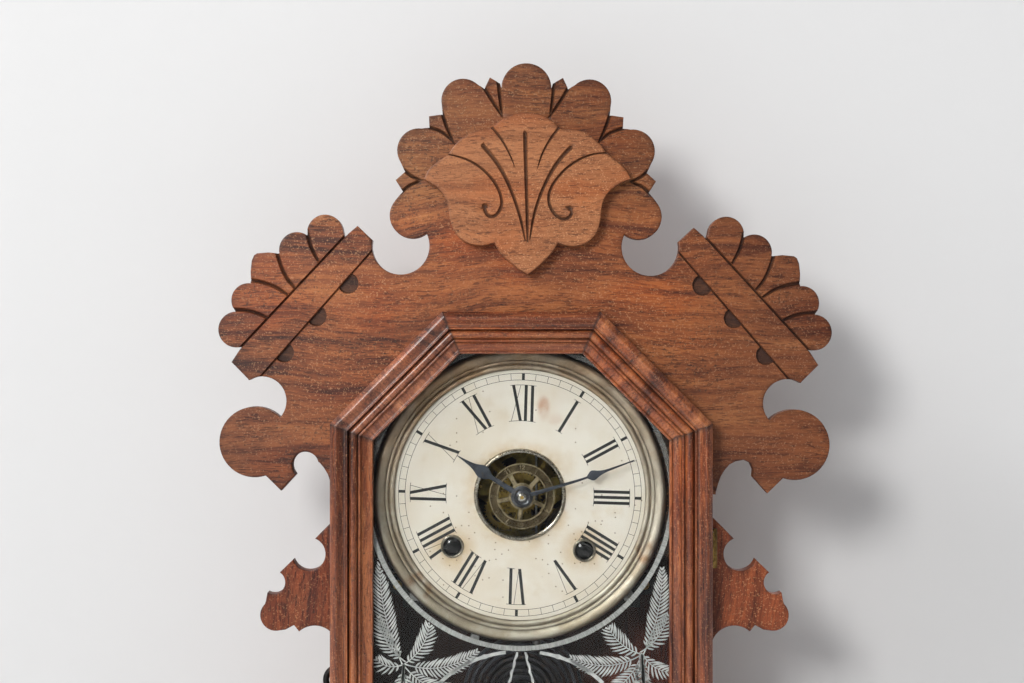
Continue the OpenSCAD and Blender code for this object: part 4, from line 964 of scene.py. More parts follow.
# ------------------------------------------------------------------ ears
for k, loop in enumerate(cad_loops("ears", -21.0)[:2]):
    left = loop[0][0] < 0

    def seat(x, z, left=left):
        if not left and x < 114.95 and 258.95 < z < 280.05:
            return 1.0, 0.2
        return 0.0, 0.0

    sp = []
    if not left:
        for q in (114.85, 115.05):
            sp += [(q, 259 + i * 0.7) for i in range(31)]
        sp += [(112.6 + i * 0.5, q) for q in (258.9, 259.05, 279.95, 280.1) for i in range(5)]
    relief("ear_left" if left else "ear_right", loop, -30.0, -21.0, wood_ear if left else wood_ear_lit, "case", (), seat, sp,
           replaces=("ears",), seed=20 + k, rr=0.7)


# ------------------------------------------------------------------ door
def arc_pts(c, r, a0, a1, n):
    return [(c[0] + r * math.cos(math.radians(a0 + (a1 - a0) * i / n)), c[1] + r * math.sin(math.radians(a0 + (a1 - a0) * i / n))) for i in range(n + 1)]


profile = ([(0, 0), (0, 13.5), (0.3, 13.9), (2.2, 15.6), (2.8, 16.1), (3.6, 16.3), (4.4, 16.15), (5.1, 15.6), (5.9, 14.8), (6.7, 14.0), (7.5, 13.4), (8.3, 13.15), (9.0, 13.25),
            (9.3, 13.5), (9.45, 14.1), (10.35, 14.1), (10.55, 10.6), (11.0, 10.3)] + arc_pts((13.4, 10.7), 2.4, 175, 5, 16)
           + [(16.0, 10.2), (16.4, 10.0), (16.6, 11.0), (17.7, 11.0), (18.0, 10.0), (18.7, 8.9), (19.7, 8.1), (21.1, 7.5), (22.5, 7.2), (23.2, 7.3), (23.5, 7.9),
              (24.4, 7.9), (24.9, 7.4), (25.0, 4.0), (19.5, 4.0), (19.5, 0.0)])


def fillet(poly, r):
    """Rounds each corner of a closed outline a little."""
    out = []
    n = len(poly)
    for i in range(n):
        a, b, c = Vector(poly[i - 1]), Vector(poly[i]), Vector(poly[(i + 1) % n])
        u, v = (a - b), (c - b)
        lu, lv = u.length, v.length
        if lu < 1e-6 or lv < 1e-6:
            continue
        u.normalize()
        v.normalize()
        turn = math.degrees(math.acos(max(-1, min(1, -u.dot(v)))))
        if turn < 18:
            out.append((b.x, b.y))
            continue
        k = min(r, lu * 0.4, lv * 0.4)
        p, q = b + u * k, b + v * k
        for t in (0, 0.5, 1):
            m = p * (1 - t) ** 2 + b * 2 * t * (1 - t) + q * t * t
            out.append((m.x, m.y))
    return out


prof = fillet(profile, 0.32)
# hollows hold dirt
pc = []
for i in range(len(prof)):
    cav = 0.0
    for (u, h, w) in ((10.7, 10.5, 1.0), (9.2, 13.4, 0.5), (16.25, 10.0, 0.8), (18.0, 9.9, 0.55), (23.35, 7.5, 0.45), (8.2, 13.2, 0.6), (25.0, 5.5, 1.6)):
        d = math.dist(prof[i], (u, h))
        cav = max(cav, (0.95 if w > 0.6 else 0.7) * max(0.0, 1 - d / w))
    pc.append(cav)

t22 = math.tan(math.radians(22.5))
A = 113.2
DX = -1.1
YD = -30.2
DT = 410.5
OZ = DT - A
D0 = 78.0


def door_bar(name, x, z, a, length, k0, k1, mat, replaces, seed, n=56):
    ca, sa = math.cos(math.radians(a)), math.sin(math.radians(a))
    verts, wear, faces = [], [], []
    m = len(prof)
    for i in range(n + 1):
        t = i / n
        for j, (u, h) in enumerate(prof):
            s0 = -length / 2 + u * k0 + 0.07
            s1 = length / 2 - u * k1 - 0.07
            s = s0 + (s1 - s0) * t
            w = noise.noise(Vector((s * 0.05, u * 0.7, seed * 3.1))) * 0.05 + noise.noise(Vector((s * 0.3, u * 1.1, seed * 1.7))) * 0.03
            hh = h + (w if 1 < h else 0.0)
            uu = u
            verts.append((DX + x + s * ca + uu * sa, YD - hh, z - s * sa + uu * ca))
            near = min(s - s0, s1 - s)
            wear.append((max(pc[j], 0.8 * max(0.0, 1 - near / 0.7)), 0.0, 0.0))
    for i in range(n):
        for j in range(m):
            a0 = i * m + j
            b0_ = i * m + (j + 1) % m
            faces.append((a0, b0_, b0_ + m, a0 + m))
    faces.append(tuple(range(m - 1, -1, -1)))
    faces.append(tuple(n * m + j for j in range(m)))
    ob = make(name, verts, faces, mat, "door", replaces, wear, sharp=50)
    bm = bmesh.new()
    bm.from_mesh(ob.data)
    bmesh.ops.recalc_face_normals(bm, faces=bm.faces)
    bm.to_mesh(ob.data)
    bm.free()
    return ob


sl = OZ + A * t22 - D0
sm_ = (OZ + A * t22 + D0) / 2
side = 2 * A * t22
door_bar("door_stile_left_moulded", -A, sm_, 90, sl, t22, 1, door_wood("wood_door_stile_left", 90, 11.2), ("door_stile_left",), 1, 90)
door_bar("door_stile_right_moulded", A, sm_, -90, sl, 1, t22, door_wood("wood_door_stile_right", 90, 13.9), ("door_stile_right",), 2, 90)
door_bar("door_rail_top_moulded", 0, DT, 180, side, t22, t22, door_wood("wood_door_rail_top", 0, 15.1), ("door_rail_top",), 3)
door_bar("door_rail_bottom_moulded", 0, D0, 0, 2 * A, 1, 1, door_wood("wood_door_rail_bottom", 0, 17.7), ("door_rail_bottom",), 4, 80)
for s, nm in ((-1, "left"), (1, "right")):
    # grain runs with the bar, 45 degrees up
    # painted light: the diagonals use the lighter shades
    door_bar("door_diagonal_" + nm + "_moulded", s * A * (1 + t22) / 2, OZ + A * (1 + t22) / 2, -135 * s, side, t22, t22,
             door_wood("wood_door_diagonal_lit_" + nm, 45 * s, 19.3 + s, DIAG_LIT_SH if s < 0 else DIAR_LIT_SH), ("door_diagonals",), 5 + s)


# ------------------------------------------------------------------ turned pieces
def lathe(name, prof, cx, cz, mat, body, replaces=(), seg=160, cav=None, sharp=38, closed=True):
    """prof holds (radius, distance to the front of Y = 0); turned round an axis along Y."""
    verts, faces, wear = [], [], []
    m = len(prof)
    for i in range(seg):
        a = 2 * math.pi * i / seg
        for j, (r, h) in enumerate(prof):
            verts.append((cx + r * math.cos(a), -h, cz + r * math.sin(a)))
            wear.append((cav[j] if cav else 0.0, 0.0, 0.0))
    for i in range(seg):
        k = (i + 1) % seg
        for j in range(m if closed else m - 1):
            l = (j + 1) % m
            faces.append((i * m + j, i * m + l, k * m + l, k * m + j))
    ob = make(name, verts, faces, mat, body, replaces, wear, sharp=sharp)
    bm = bmesh.new()
    bm.from_mesh(ob.data)
    bmesh.ops.remove_doubles(bm, verts=bm.verts, dist=1e-7)
    bmesh.ops.recalc_face_normals(bm, faces=bm.faces)
    bm.to_mesh(ob.data)
    bm.free()
    ob.data.set_sharp_from_angle(angle=math.radians(sharp))
    return ob


bez = ([(75.9, 20.8), (75.9, 21.6)] + arc_pts((77.5, 21.7), 1.6, 165, 20, 12)
       + [(79.25, 22.1), (79.65, 23.2), (80.0, 23.65), (80.4, 23.8), (81.2, 23.75), (81.5, 23.3), (81.7, 24.0), (82.1, 24.5), (82.8, 24.95), (83.7, 25.35), (84.6, 25.6), (85.5, 25.7), (86.2, 25.6), (86.8, 25.3), (87.3, 24.8), (87.8, 23.9), (88.2, 22.8), (88.9, 20.5), (84.4, 20.5)])
bcav = []
for r, h in bez:
    c = max(0.0, 1 - abs(r - 79.35) / 0.4, 1 - abs(r - 81.5) / 0.3) * 0.6
    if r < 76.1:
        c = max(c, 0.5)
    # painted shade: the outer flank and back of the bezel are darkened where shade falls
    if r > 88.1 or h < 20.6:
        c = max(c, 0.85)
    bcav.append(c)
lathe("dial_bezel_rolled", bez, DCX, CZ, bezel_mat, "case", ("dial_bezel",), 256, bcav, sharp=50)
lathe("dial_center_ring_rolled", [(25.3, 19.7), (25.3, 21.4)] + arc_pts((26.5, 21.4), 1.2, 175, 10, 12) + [(27.8, 21.1), (28.0, 20.8), (25.9, 20.8), (25.9, 19.7)],
      DCX, CZ, metal("ring_nickel", rgb(176, 170, 158), rgb(124, 116, 102), 0.28, rgb(112, 96, 72), 90), "case", ("dial_center_ring",), 128)
grommet_mat = metal("grommet_nickel", rgb(150, 144, 132), rgb(106, 98, 84), 0.3, rgb(88, 76, 58), 200)
TILT = 1.7
TC, TS = math.cos(math.radians(TILT)), math.sin(math.radians(TILT))
for s in (-1, 1):
    lathe("winding_grommet_" + ("left" if s < 0 else "right"), [(5.55, 19.7), (5.55, 21.2)] + arc_pts((6.25, 21.2), 0.75, 170, 10, 9) + [(7.05, 20.85), (6, 20.8), (6, 19.7)],
          DCX + 40.0 * s * TC - 32.4 * TS, CZ - 40.0 * s * TS - 32.4 * TC, grommet_mat, "case", ("winding_grommets",), 72)


# painted shade: black for the dark inside of the winding holes; the highlight on it comes from the lamps
def black_end_material():
    m = Mat("winding_hole_shade_black")
    n = m.noise(m.mapping(scale=(900, 900, 900)), 1.0, 3.0, 0.6)
    m.set(Base_Color=m.mix(m.range(n, 0.4, 0.7), rgb(8, 8, 8), rgb(20, 18, 16)))
    m.set(Roughness=m.range(n, 0.3, 0.7, 0.11, 0.135))
    m.bsdf.inputs["Specular IOR Level"].default_value = 0.42
    return m.m


hole_shade_mat = black_end_material()
# painted shade: a glossy black dome in each winding hole stands for the arbor end deep in the dark hole
for s in (-1, 1):
    lathe("winding_hole_shade_dome_" + ("left" if s < 0 else "right"), [(0.02, 21.35)] + [(r, 21.35 - r * r / 20.5) for r in (0.8, 1.6, 2.4, 3.2, 4.0, 4.6, 5.1, 5.5)] + [(5.5, 19.6), (0.02, 19.6)],
          DCX + 40.0 * s * TC - 32.4 * TS, CZ - 40.0 * s * TS - 32.4 * TC, hole_shade_mat, "case", (), 96, sharp=70)


# ------------------------------------------------------------------ dial print, its numbers and minute track
class Print:
    """Thin flat shapes of ink on the paper."""

    def __init__(self, y0, y1):
        self.v, self.f, self.y0, self.y1 = [], [], y0, y1

    def quad(self, a, b, c, d):
        p = [a, b, c, d]
        if area(p) < 0:
            p.reverse()
        i = len(self.v)
        self.v += [(q[0], self.y0, q[1]) for q in p] + [(q[0], self.y1, q[1]) for q in p]
        self.f.append((i, i + 1, i + 2, i + 3))
        self.f.append((i + 7, i + 6, i + 5, i + 4))
        for k in range(4):
            l = (k + 1) % 4
            self.f.append((i + k, i + 4 + k, i + 4 + l, i + l))

    def poly(self, pts):
        """A convex or star-like outline, filled from its middle."""
        p = list(pts)
        if area(p) < 0:
            p.reverse()
        n = len(p)
        i = len(self.v)
        self.v += [(q[0], self.y0, q[1]) for q in p] + [(q[0], self.y1, q[1]) for q in p]
        self.f.append(tuple(range(i, i + n)))
        self.f.append(tuple(range(i + 2 * n - 1, i + n - 1, -1)))
        for k in range(n):
            l = (k + 1) % n
            self.f.append((i + k, i + n + k, i + n + l, i + l))

    def band(self, cx, cz, r0, r1, a0=0.0, a1=360.0, n=180):
        for k in range(n):
            p, q = math.radians(a0 + (a1 - a0) * k / n), math.radians(a0 + (a1 - a0) * (k + 1) / n)
            self.quad((cx + r0 * math.cos(p), cz + r0 * math.sin(p)), (cx + r1 * math.cos(p), cz + r1 * math.sin(p)),
                      (cx + r1 * math.cos(q), cz + r1 * math.sin(q)), (cx + r0 * math.cos(q), cz + r0 * math.sin(q)))


ink = Print(-20.84, -20.79)


def on_dial(t, r, deg):
    """t across and r out from the centre, on the line at deg clockwise from twelve."""
    a = math.radians(deg + TILT)
    return (DCX + t * math.cos(a) + r * math.sin(a), CZ + r * math.cos(a) - t * math.sin(a))


def ink_line(t0, r0, t1, r1, w, deg):
    """A stroke whose ends follow the rings of the dial."""
    ink.quad(on_dial(t0 - w / 2, r0, deg), on_dial(t0 + w / 2, r0, deg), on_dial(t1 + w / 2, r1, deg), on_dial(t1 - w / 2, r1, deg))


RI, RO = 44.9, 66.6
for k in range(60):
    a = k * 6.0
    if k % 5 == 0:
        ink_line(0, 69.5, 0, 73.6, 1.75, a)
    else:
        ink_line(0, 69.7, 0, 73.5, 0.26, a)
ink.band(DCX, CZ, 69.46, 69.74, n=240)
ink.band(DCX, CZ, 73.46, 73.74, n=240)

THICK, HAIR = 1.85, 0.3


def letters(word):
    """Strokes of a Roman number, each (t at the inner end, t at the outer end, width), and its serifs."""
    pos = 0.0
    gap = 3.35 if set(word) == {"I"} else 3.9
    strokes, out_s, in_s = [], [], []
    for k, ch in enumerate(word):
        if ch == "I":
            strokes.append((pos, pos, THICK))
            out_s.append((pos - 2.3, pos + 2.3))
            in_s.append((pos - 2.3, pos + 2.3))
            adv = gap
        elif ch == "V":
            c = pos + 2.6 - 1.2
            strokes.append((c - 0.1, c - 2.95, THICK))
            strokes.append((c + 0.35, c + 2.8, HAIR))
            out_s.append((c - 4.5, c + 3.9))
            adv = 2.6 - 1.2 + 5.1
        else:
            c = pos + 3.0 - 1.2
            strokes.append((c + 2.6, c - 2.15, THICK))
            strokes.append((c - 2.9, c + 2.35, HAIR))
            out_s.append((c - 4.1, c + 3.9))
            in_s.append((c - 4.4, c + 4.2))
            adv = 3.0 - 1.2 + 5.6
        pos += adv
    lo = min(min(s[0] - s[2] / 2, s[1] - s[2] / 2) for s in strokes)
    hi = max(max(s[0] + s[2] / 2, s[1] + s[2] / 2) for s in strokes)
    mid = (lo + hi) / 2
    return [(a - mid, b - mid, w) for a, b, w in strokes], [(a - mid, b - mid) for a, b in out_s], [(a - mid, b - mid) for a, b in in_s]


for k, word in enumerate(["XII", "I", "II", "III", "IIII", "V", "VI", "VII", "VIII", "IX", "X", "XI"]):
    deg = 30.0 * k
    st, outs, ins = letters(word)
    for a, b, w in st:
        ra = math.sqrt(max(1, RI * RI - a * a))
        rb_ = math.sqrt(RO * RO - b * b)
        ink_line(a, ra, b, rb_, w, deg)
    for spans, R in ((outs, RO), (ins, RI)):
        for a, b in spans:
            n = max(2, int(abs(b - a) / 1.2))
            for i in range(n):
                u0, u1 = a + (b - a) * i / n, a + (b - a) * (i + 1) / n
                q0, q1 = math.sqrt(R * R - u0 * u0), math.sqrt(R * R - u1 * u1)
                ink.quad(on_dial(u0, q0 - HAIR / 2, deg), on_dial(u1, q1 - HAIR / 2, deg), on_dial(u1, q1 + HAIR / 2, deg), on_dial(u0, q0 + HAIR / 2, deg))
make("dial_numbers_printed", ink.v, ink.f, ink_mat, "case", (), smooth=False)


# ------------------------------------------------------------------ hands
def hand(name, outline, angle, y0, y1, mat, body, replaces):
    """outline holds (distance from the centre, half width); angle(r) is in degrees clockwise from twelve."""
    verts, faces, wear = [], [], []
    for r, w in outline:
        a = math.radians(angle(r))
        sa, ca = math.sin(a), math.cos(a)
        for t, y in ((-w, y0 + 0.22), (-w * 0.62, y0), (w * 0.62, y0), (w, y0 + 0.22), (w, y1), (-w, y1)):
            verts.append((MX + r * sa + t * ca, y, MZ + r * ca - t * sa))
            wear.append((0.0, 0.0, 0.0))
    k = len(outline)
    for i in range(k - 1):
        for j in range(6):
            l = (j + 1) % 6
            faces.append((i * 6 + j, i * 6 + l, i * 6 + 6 + l, i * 6 + 6 + j))
    faces.append((5, 4, 3, 2, 1, 0))
    faces.append(tuple((k - 1) * 6 + j for j in range(6)))
    ob = make(name, verts, faces, mat, body, replaces, wear, sharp=28)
    bm = bmesh.new()
    bm.from_mesh(ob.data)
    bmesh.ops.recalc_face_normals(bm, faces=bm.faces)
    bm.to_mesh(ob.data)
    bm.free()
    return ob


def smooth_line(pts, step=0.5):
    """Stations between the given ones, on a smooth curve."""
    return [(p[0], max(0.05, p[1])) for p in catmull(pts, step)]


hour_line = smooth_line([(-6.0, 1.6), (5.0, 1.65), (13.0, 1.5), (21.0, 1.3), (22.2, 1.5), (23.2, 2.1), (24.3, 2.9), (25.6, 3.55), (27.0, 3.95), (28.5, 4.05), (30.0, 3.75),
                         (31.3, 3.1), (32.6, 2.5), (34.0, 1.95), (35.5, 1.55), (37.0, 1.25), (40.0, 0.85), (43.0, 0.5), (46.5, 0.2)])
minute_line = smooth_line([(-4.0, 1.2), (3.0, 1.35), (13.0, 1.15), (24.0, 0.95), (34.0, 0.76), (40.4, 0.66), (41.2, 0.86), (42.2, 1.7), (43.3, 2.6), (44.6, 3.05), (46.0, 2.75), (47.5, 2.1),
                           (49.0, 1.55), (50.5, 1.18), (52.5, 0.9), (55.0, 0.72), (63.0, 0.5), (70.0, 0.36), (71.2, 0.18)])
hand("hour_hand_blued", hour_line, lambda r: -57.5, -25.6, -25.05, hand_mat, "hour_pipe", ("hour_hand",))
hand("minute_hand_blued", minute_line, lambda r: 73.4 - 0.5 * max(0.0, (min(r, 45.0) - 35.0) / 10.0) - 1.1 * max(0.0, (r - 45.0) / 26.0), -27.8, -27.25, hand_mat, "center_arbor", ("minute_hand",))
collet_mat = metal("collet_dark", rgb(92, 94, 98), rgb(58, 58, 62), 0.34, rgb(70, 62, 54), 150, metallic=0.8, bump=0.2)
lathe("hour_hand_collet", [(2.65, 24.9), (6.4, 24.9), (6.6, 25.2), (6.55, 25.7), (6.2, 26.05), (5.6, 26.15), (5.4, 26.35), (4.9, 26.5), (2.65, 26.5)], MX, MZ, collet_mat, "hour_pipe", (), 96)
lathe("minute_hand_collet", [(1.15, 27.0), (5.0, 27.0), (5.3, 27.3), (5.35, 27.8), (5.1, 28.1), (4.7, 28.15), (4.4, 27.95), (4.0, 27.85), (3.7, 28.05), (1.15, 28.05)], MX, MZ, collet_mat,
      "center_arbor", (), 96)
lathe("hand_nut_turned", [(1.12, 27.9), (2.6, 27.9), (2.72, 28.1), (2.68, 28.45), (2.4, 28.85), (2.05, 29.1), (1.7, 29.26), (1.12, 29.3)], MX, MZ, nut_mat, "center_arbor", ("hand_nut",), 72)

# ------------------------------------------------------------------ alarm disc
dv, df, dw = [], [], []


def add_ring(prof, seg, toothed_from=99.0, teeth=84, depth=0.22):
    base = len(dv)
    m = len(prof)
    for i in range(seg):
        a = 2 * math.pi * i / seg
        for r, h, c in prof:
            rr = r - (depth * (0.5 - 0.5 * math.cos(a * teeth)) if r > toothed_from else 0.0)
            dv.append((MX + rr * math.cos(a), -h, MZ + rr * math.sin(a)))
            dw.append((c, 0.0, 0.0))
    for i in range(seg):
        k = (i + 1) % seg
        for j in range(m):
            l = (j + 1) % m
            df.append((base + i * m + j, base + i * m + l, base + k * m + l, base + k * m + j))


def add_box(p, q, w0, w1, h0, h1, c=0.0):
    """A ridge from p to q, w0 wide at its foot and w1 at its top."""
    p, q = Vector(p), Vector(q)
    u = (q - p).normalized()
    n = Vector((-u.y, u.x))
    base = len(dv)
    for w, h, e in ((w0, h0, 0.0), (w1, h1, (w0 - w1) / 2)):
        for pt, s in ((p, -1), (q, 1)):
            for side_ in (-1, 1):
                v = pt + u * s * (w0 / 2 - e) + n * side_ * w / 2
                dv.append((MX + v.x, -h, MZ + v.y))
                dw.append((c, 0.0, 0.0))
    for f in ((0, 1, 3, 2), (4, 6, 7, 5), (0, 4, 5, 1), (1, 5, 7, 3), (3, 7, 6, 2), (2, 6, 4, 0)):
        df.append(tuple(base + i for i in f))


add_ring([(14.2, 20.95, 0.7), (14.2, 21.45, 0.2), (14.45, 21.7, 0), (15.2, 21.72, 0), (15.45, 21.4, 1.0), (15.9, 21.28, 1.0), (18.9, 21.28, 1.0), (19.15, 21.4, 1.0), (19.35, 21.75, 0), (19.9, 21.75, 0),
          (20.15, 21.5, 0.2), (20.15, 21.0, 0.7), (19.0, 20.95, 0.8)], 504, 19.3)
add_ring([(2.75, 21.0, 0.5), (2.75, 22.55, 0.2), (4.1, 22.5, 0), (4.4, 22.2, 0.3), (4.6, 21.75, 0.7), (6.9, 21.7, 0.2), (7.9, 21.65, 0), (8.15, 21.4, 0.4), (8.0, 20.95, 0.8)], 96)
for i in range(5):
    a = math.radians(72 * i - 24)
    add_box((7.6 * math.cos(a), 7.6 * math.sin(a)), (13.2 * math.cos(a), 13.2 * math.sin(a)), 3.1, 2.5, 20.95, 21.6, 0.15)
FIG = {
    "0": [(.5, 1.6), (.1, 1.3), (0, .8), (.1, .3), (.5, 0), (.9, .3), (1, .8), (.9, 1.3), (.5, 1.6)],
    "1": [(.2, 1.3), (.55, 1.6), (.55, 0)],
    "2": [(.05, 1.2), (.25, 1.55), (.7, 1.6), (.95, 1.25), (.85, .9), (.05, .05), (1, .05)],
    "3": [(.05, 1.4), (.5, 1.6), (.9, 1.3), (.75, .95), (.4, .85), (.8, .75), (1, .4), (.6, 0), (.05, .15)],
    "4": [(.75, 0), (.75, 1.6), (0, .5), (1, .5)],
    "5": [(.95, 1.6), (.2, 1.6), (.1, .9), (.6, 1.0), (.95, .7), (.9, .25), (.45, 0), (.05, .15)],
    "6": [(.85, 1.5), (.4, 1.45), (.05, .9), (.05, .35), (.45, 0), (.9, .25), (.9, .65), (.5, .95), (.1, .6)],
    "7": [(.05, 1.6), (1, 1.6), (.4, 0)],
    "8": [(.5, .85), (.1, 1.15), (.3, 1.55), (.7, 1.55), (.9, 1.15), (.5, .85), (.05, .45), (.2, .05), (.8, .05), (.95, .45), (.5, .85)],
    "9": [(.9, .95), (.5, .65), (.1, .95), (.15, 1.4), (.5, 1.6), (.9, 1.3), (.9, .7), (.6, 0)],
}
for k in range(1, 13):
    text = str(k)
    a = math.radians(30 * k)
    for j, ch in enumerate(text):
        x0 = (j - len(text) / 2) * 1.75 + 0.2
        pts = [((x0 + p[0] * 1.35), 16.25 + p[1] * 1.5) for p in FIG[ch]]
        pts = [(t * math.cos(a) + r * math.sin(a), r * math.cos(a) - t * math.sin(a)) for t, r in pts]
        for p, q in zip(pts, pts[1:]):
            add_box(p, q, 0.6, 0.3, 21.26, 21.8)
ob = make("alarm_disc_embossed", dv, df, disc_mat, "alarm_dial", ("alarm_disc",), dw, sharp=40)
bm = bmesh.new()
bm.from_mesh(ob.data)
bmesh.ops.recalc_face_normals(bm, faces=bm.faces)
bm.to_mesh(ob.data)
bm.free()

# ------------------------------------------------------------------ silver ferns on the back of the glass
GX, GY = -1.1, -32.2
sten = Print(GY + 0.02, GY + 0.09)
rnd = random.Random(7)


def gp_(px, py):
    return Vector((-6.6 + (px - 512) * 0.5987, 392.9 + (341.5 - py) * 0.5987))


def on_glass(q):
    d = math.hypot(q[0] - DCX, q[1] - CZ)
    return abs(q[0] - GX) < 91.5 and 99 < q[1] < 380 and (d > 92.9)


def leaflet(root, ang, length, width, curl):
    """A narrow leaf with a pointed end."""
    n = 4
    prev = None
    pos = Vector(root)
    for i in range(n + 1):
        t = i / n
        a = ang + curl * t
        w = width * (0.35 + 2.2 * t * (1 - t) * (1.15 - 0.4 * t)) if i < n else 0.06
        side_ = Vector((-math.sin(a), math.cos(a))) * w / 2
        cur = (pos - side_, pos + side_)
        if prev is not None and on_glass(pos):
            sten.quad(prev[0], cur[0], cur[1], prev[1])
        prev = cur
        pos = pos + Vector((math.cos(a), math.sin(a))) * length / n


def frond(root, tip, bend, leaf, gap_=2.2, wide=1.22):
    root, tip = Vector(root), Vector(tip)
    d = tip - root
    ctrl = (root + tip) / 2 + Vector((-d.y, d.x)) * bend
    total = d.length * (1 + bend * bend)
    n = int(total / gap_)

    def at(t):
        return root * (1 - t) ** 2 + ctrl * 2 * t * (1 - t) + tip * t * t

    prev = None
    for i in range(n + 1):
        t = i / n
        pos = at(t)
        tan = (at(min(1, t + 0.02)) - at(max(0, t - 0.02))).normalized()
        nor = Vector((-tan.y, tan.x))
        w = 0.75 * (1 - 0.7 * t)
        cur = (pos - nor * w / 2, pos + nor * w / 2)
        if prev is not None and on_glass(pos):
            sten.quad(prev[0], cur[0], cur[1], prev[1])
        prev = cur
        if 0.1 < t:
            base = math.atan2(tan.y, tan.x)
            L_ = leaf * min(1.0, 0.4 + 2.4 * (t - 0.1)) * (1.0 - 0.68 * max(0.0, (t - 0.6) / 0.4) ** 1.4) * rnd.uniform(0.92, 1.08)
            for s_ in (-1, 1):
                off = s_ * math.radians(64 - 26 * t + rnd.uniform(-3, 3))
                leaflet(pos, base + off, L_, wide * rnd.uniform(0.9, 1.1), -off * 0.34)


for root, tips in (((404, 664), [((380, 562), 0.12, 8.6), ((430, 620), -0.26, 8.4), ((379, 618), 0.22, 8.0), ((476, 652), -0.26, 8.4), ((377, 660), 0.30, 7.6), ((468, 690), -0.3, 8.2),
                                 ((382, 712), 0.2, 8.4), ((434, 730), -0.2, 8.4)]),
                   ((642, 654), [((662, 570), -0.12, 8.6), ((606, 622), 0.26, 8.4), ((668, 616), -0.2, 7.8), ((572, 658), 0.26, 8.6), ((588, 700), 0.28, 8.4), ((669, 672), -0.26, 7.8),
                                 ((668, 726), -0.2, 8.4), ((624, 736), 0.16, 8.4)])):
    for tip, bend, leaf in tips:
        frond(gp_(*root) + Vector((rnd.uniform(-1.5, 1.5), rnd.uniform(-1.5, 1.5))), gp_(*tip), bend, leaf)
for sx in (-1, 1):
    # stems and a second tuft lower down
    base = Vector((GX + sx * 62, 118.0))
    top_ = gp_(404, 664) if sx < 0 else gp_(642, 654)
    for off in (-1.5, 1.5):
        prev = None
        for i in range(13):
            t = i / 12
            pos = base.lerp(top_, t) + Vector((off * (1 - t) + sx * 5 * math.sin(t * math.pi), 0))
            cur = (pos - Vector((0.8, 0)), pos + Vector((0.8, 0)))
            if prev:
                sten.quad(prev[0], cur[0], cur[1], prev[1])
            prev = cur
    for ang, ln in ((20, 34), (55, 38), (90, 40), (125, 36), (160, 30)):
        a = math.radians(ang if sx < 0 else 180 - ang)
        frond(base, base + Vector((math.cos(a), math.sin(a))) * ln * 0.8, 0.14 * (1 if ang > 90 else -1) * (1 if sx < 0 else -1), 7.2)
# a hoop under the dial, with two cords and a hanging ring of leaves
hoop_c, hoop_r = Vector((GX, 158.0)), 49.5
prev = None
for i in range(61):
    a = math.radians(38 + 104 * i / 60)
    e = Vector((math.cos(a) * 1.25, math.sin(a)))
    knot = 0.5 if i % 12 == 6 else 0.0
    cur = (hoop_c + e * (hoop_r - 1.0 - knot), hoop_c + e * (hoop_r + 1.0 + knot))
    if prev and on_glass(cur[1]):
        sten.quad(prev[0], cur[0], cur[1], prev[1])
    prev = cur
for sx in (-1, 1):
    prev = None
    for i in range(25):
        t = i / 24
        pos = Vector((GX + sx * (2.4 + 15 * t), 207.0 - 58 * t)) + Vector((0.35 * math.sin(i * 2.2), 0))
        w = 0.55 + 0.3 * (i % 2)
        cur = (pos - Vector((w, 0)), pos + Vector((w, 0)))
        if prev:
            sten.quad(prev[0], cur[0], cur[1], prev[1])
        prev = cur
for i in range(72):
    a = 2 * math.pi * i / 72
    c = Vector((GX + 21 * math.cos(a), 143 + 9 * math.sin(a)))
    leaflet(c, a + 0.6, 4.6, 1.2, 0.5)
    leaflet(c, a + 2.2, 3.4, 1.0, -0.5)
# border lines along the foot of the glass
for z0 in (108.5, 111.2):
    for i in range(40):
        xa, xb = GX - 86 + 4.3 * i, GX - 86 + 4.3 * (i + 1)
        sten.quad((xa, z0), (xb, z0), (xb, z0 + (1.2 if z0 < 110 else 0.5)), (xa, z0 + (1.2 if z0 < 110 else 0.5)))
make("glass_stencil_ferns", sten.v, sten.f, stencil_mat, "door", (), smooth=False)

# brushed ring of frost round the dial
frost = Print(GY + 0.02, GY + 0.07)
fw = []
for i in range(1800):
    a0, a1 = math.radians(0.2 * i), math.radians(0.2 * i + 0.2)
    r0, r1 = 89.3 + rnd.uniform(-0.1, 0.1), 92.3 + rnd.uniform(-0.15, 0.1)
    q = [(DCX + r * math.cos(a), CZ + r * math.sin(a)) for r, a in ((r0, a0), (r1, a0), (r1, a1), (r0, a1))]
    if all(abs(p[0] - GX) < 92.5 for p in q):
        frost.quad(*q)
        fw += [(rnd.random(), 0.0, 0.0)] * 8
make("glass_frosted_ring", frost.v, frost.f, frost_mat, "door", (), fw, smooth=False)


def assign(node, mat, slot_name=None):
    me = NODE[node].data
    if len(me.materials) == 0:
        me.materials.append(mat)
    for i in range(len(me.materials)):
        me.materials[i] = mat
    for p in me.polygons:
        p.material_index = 0


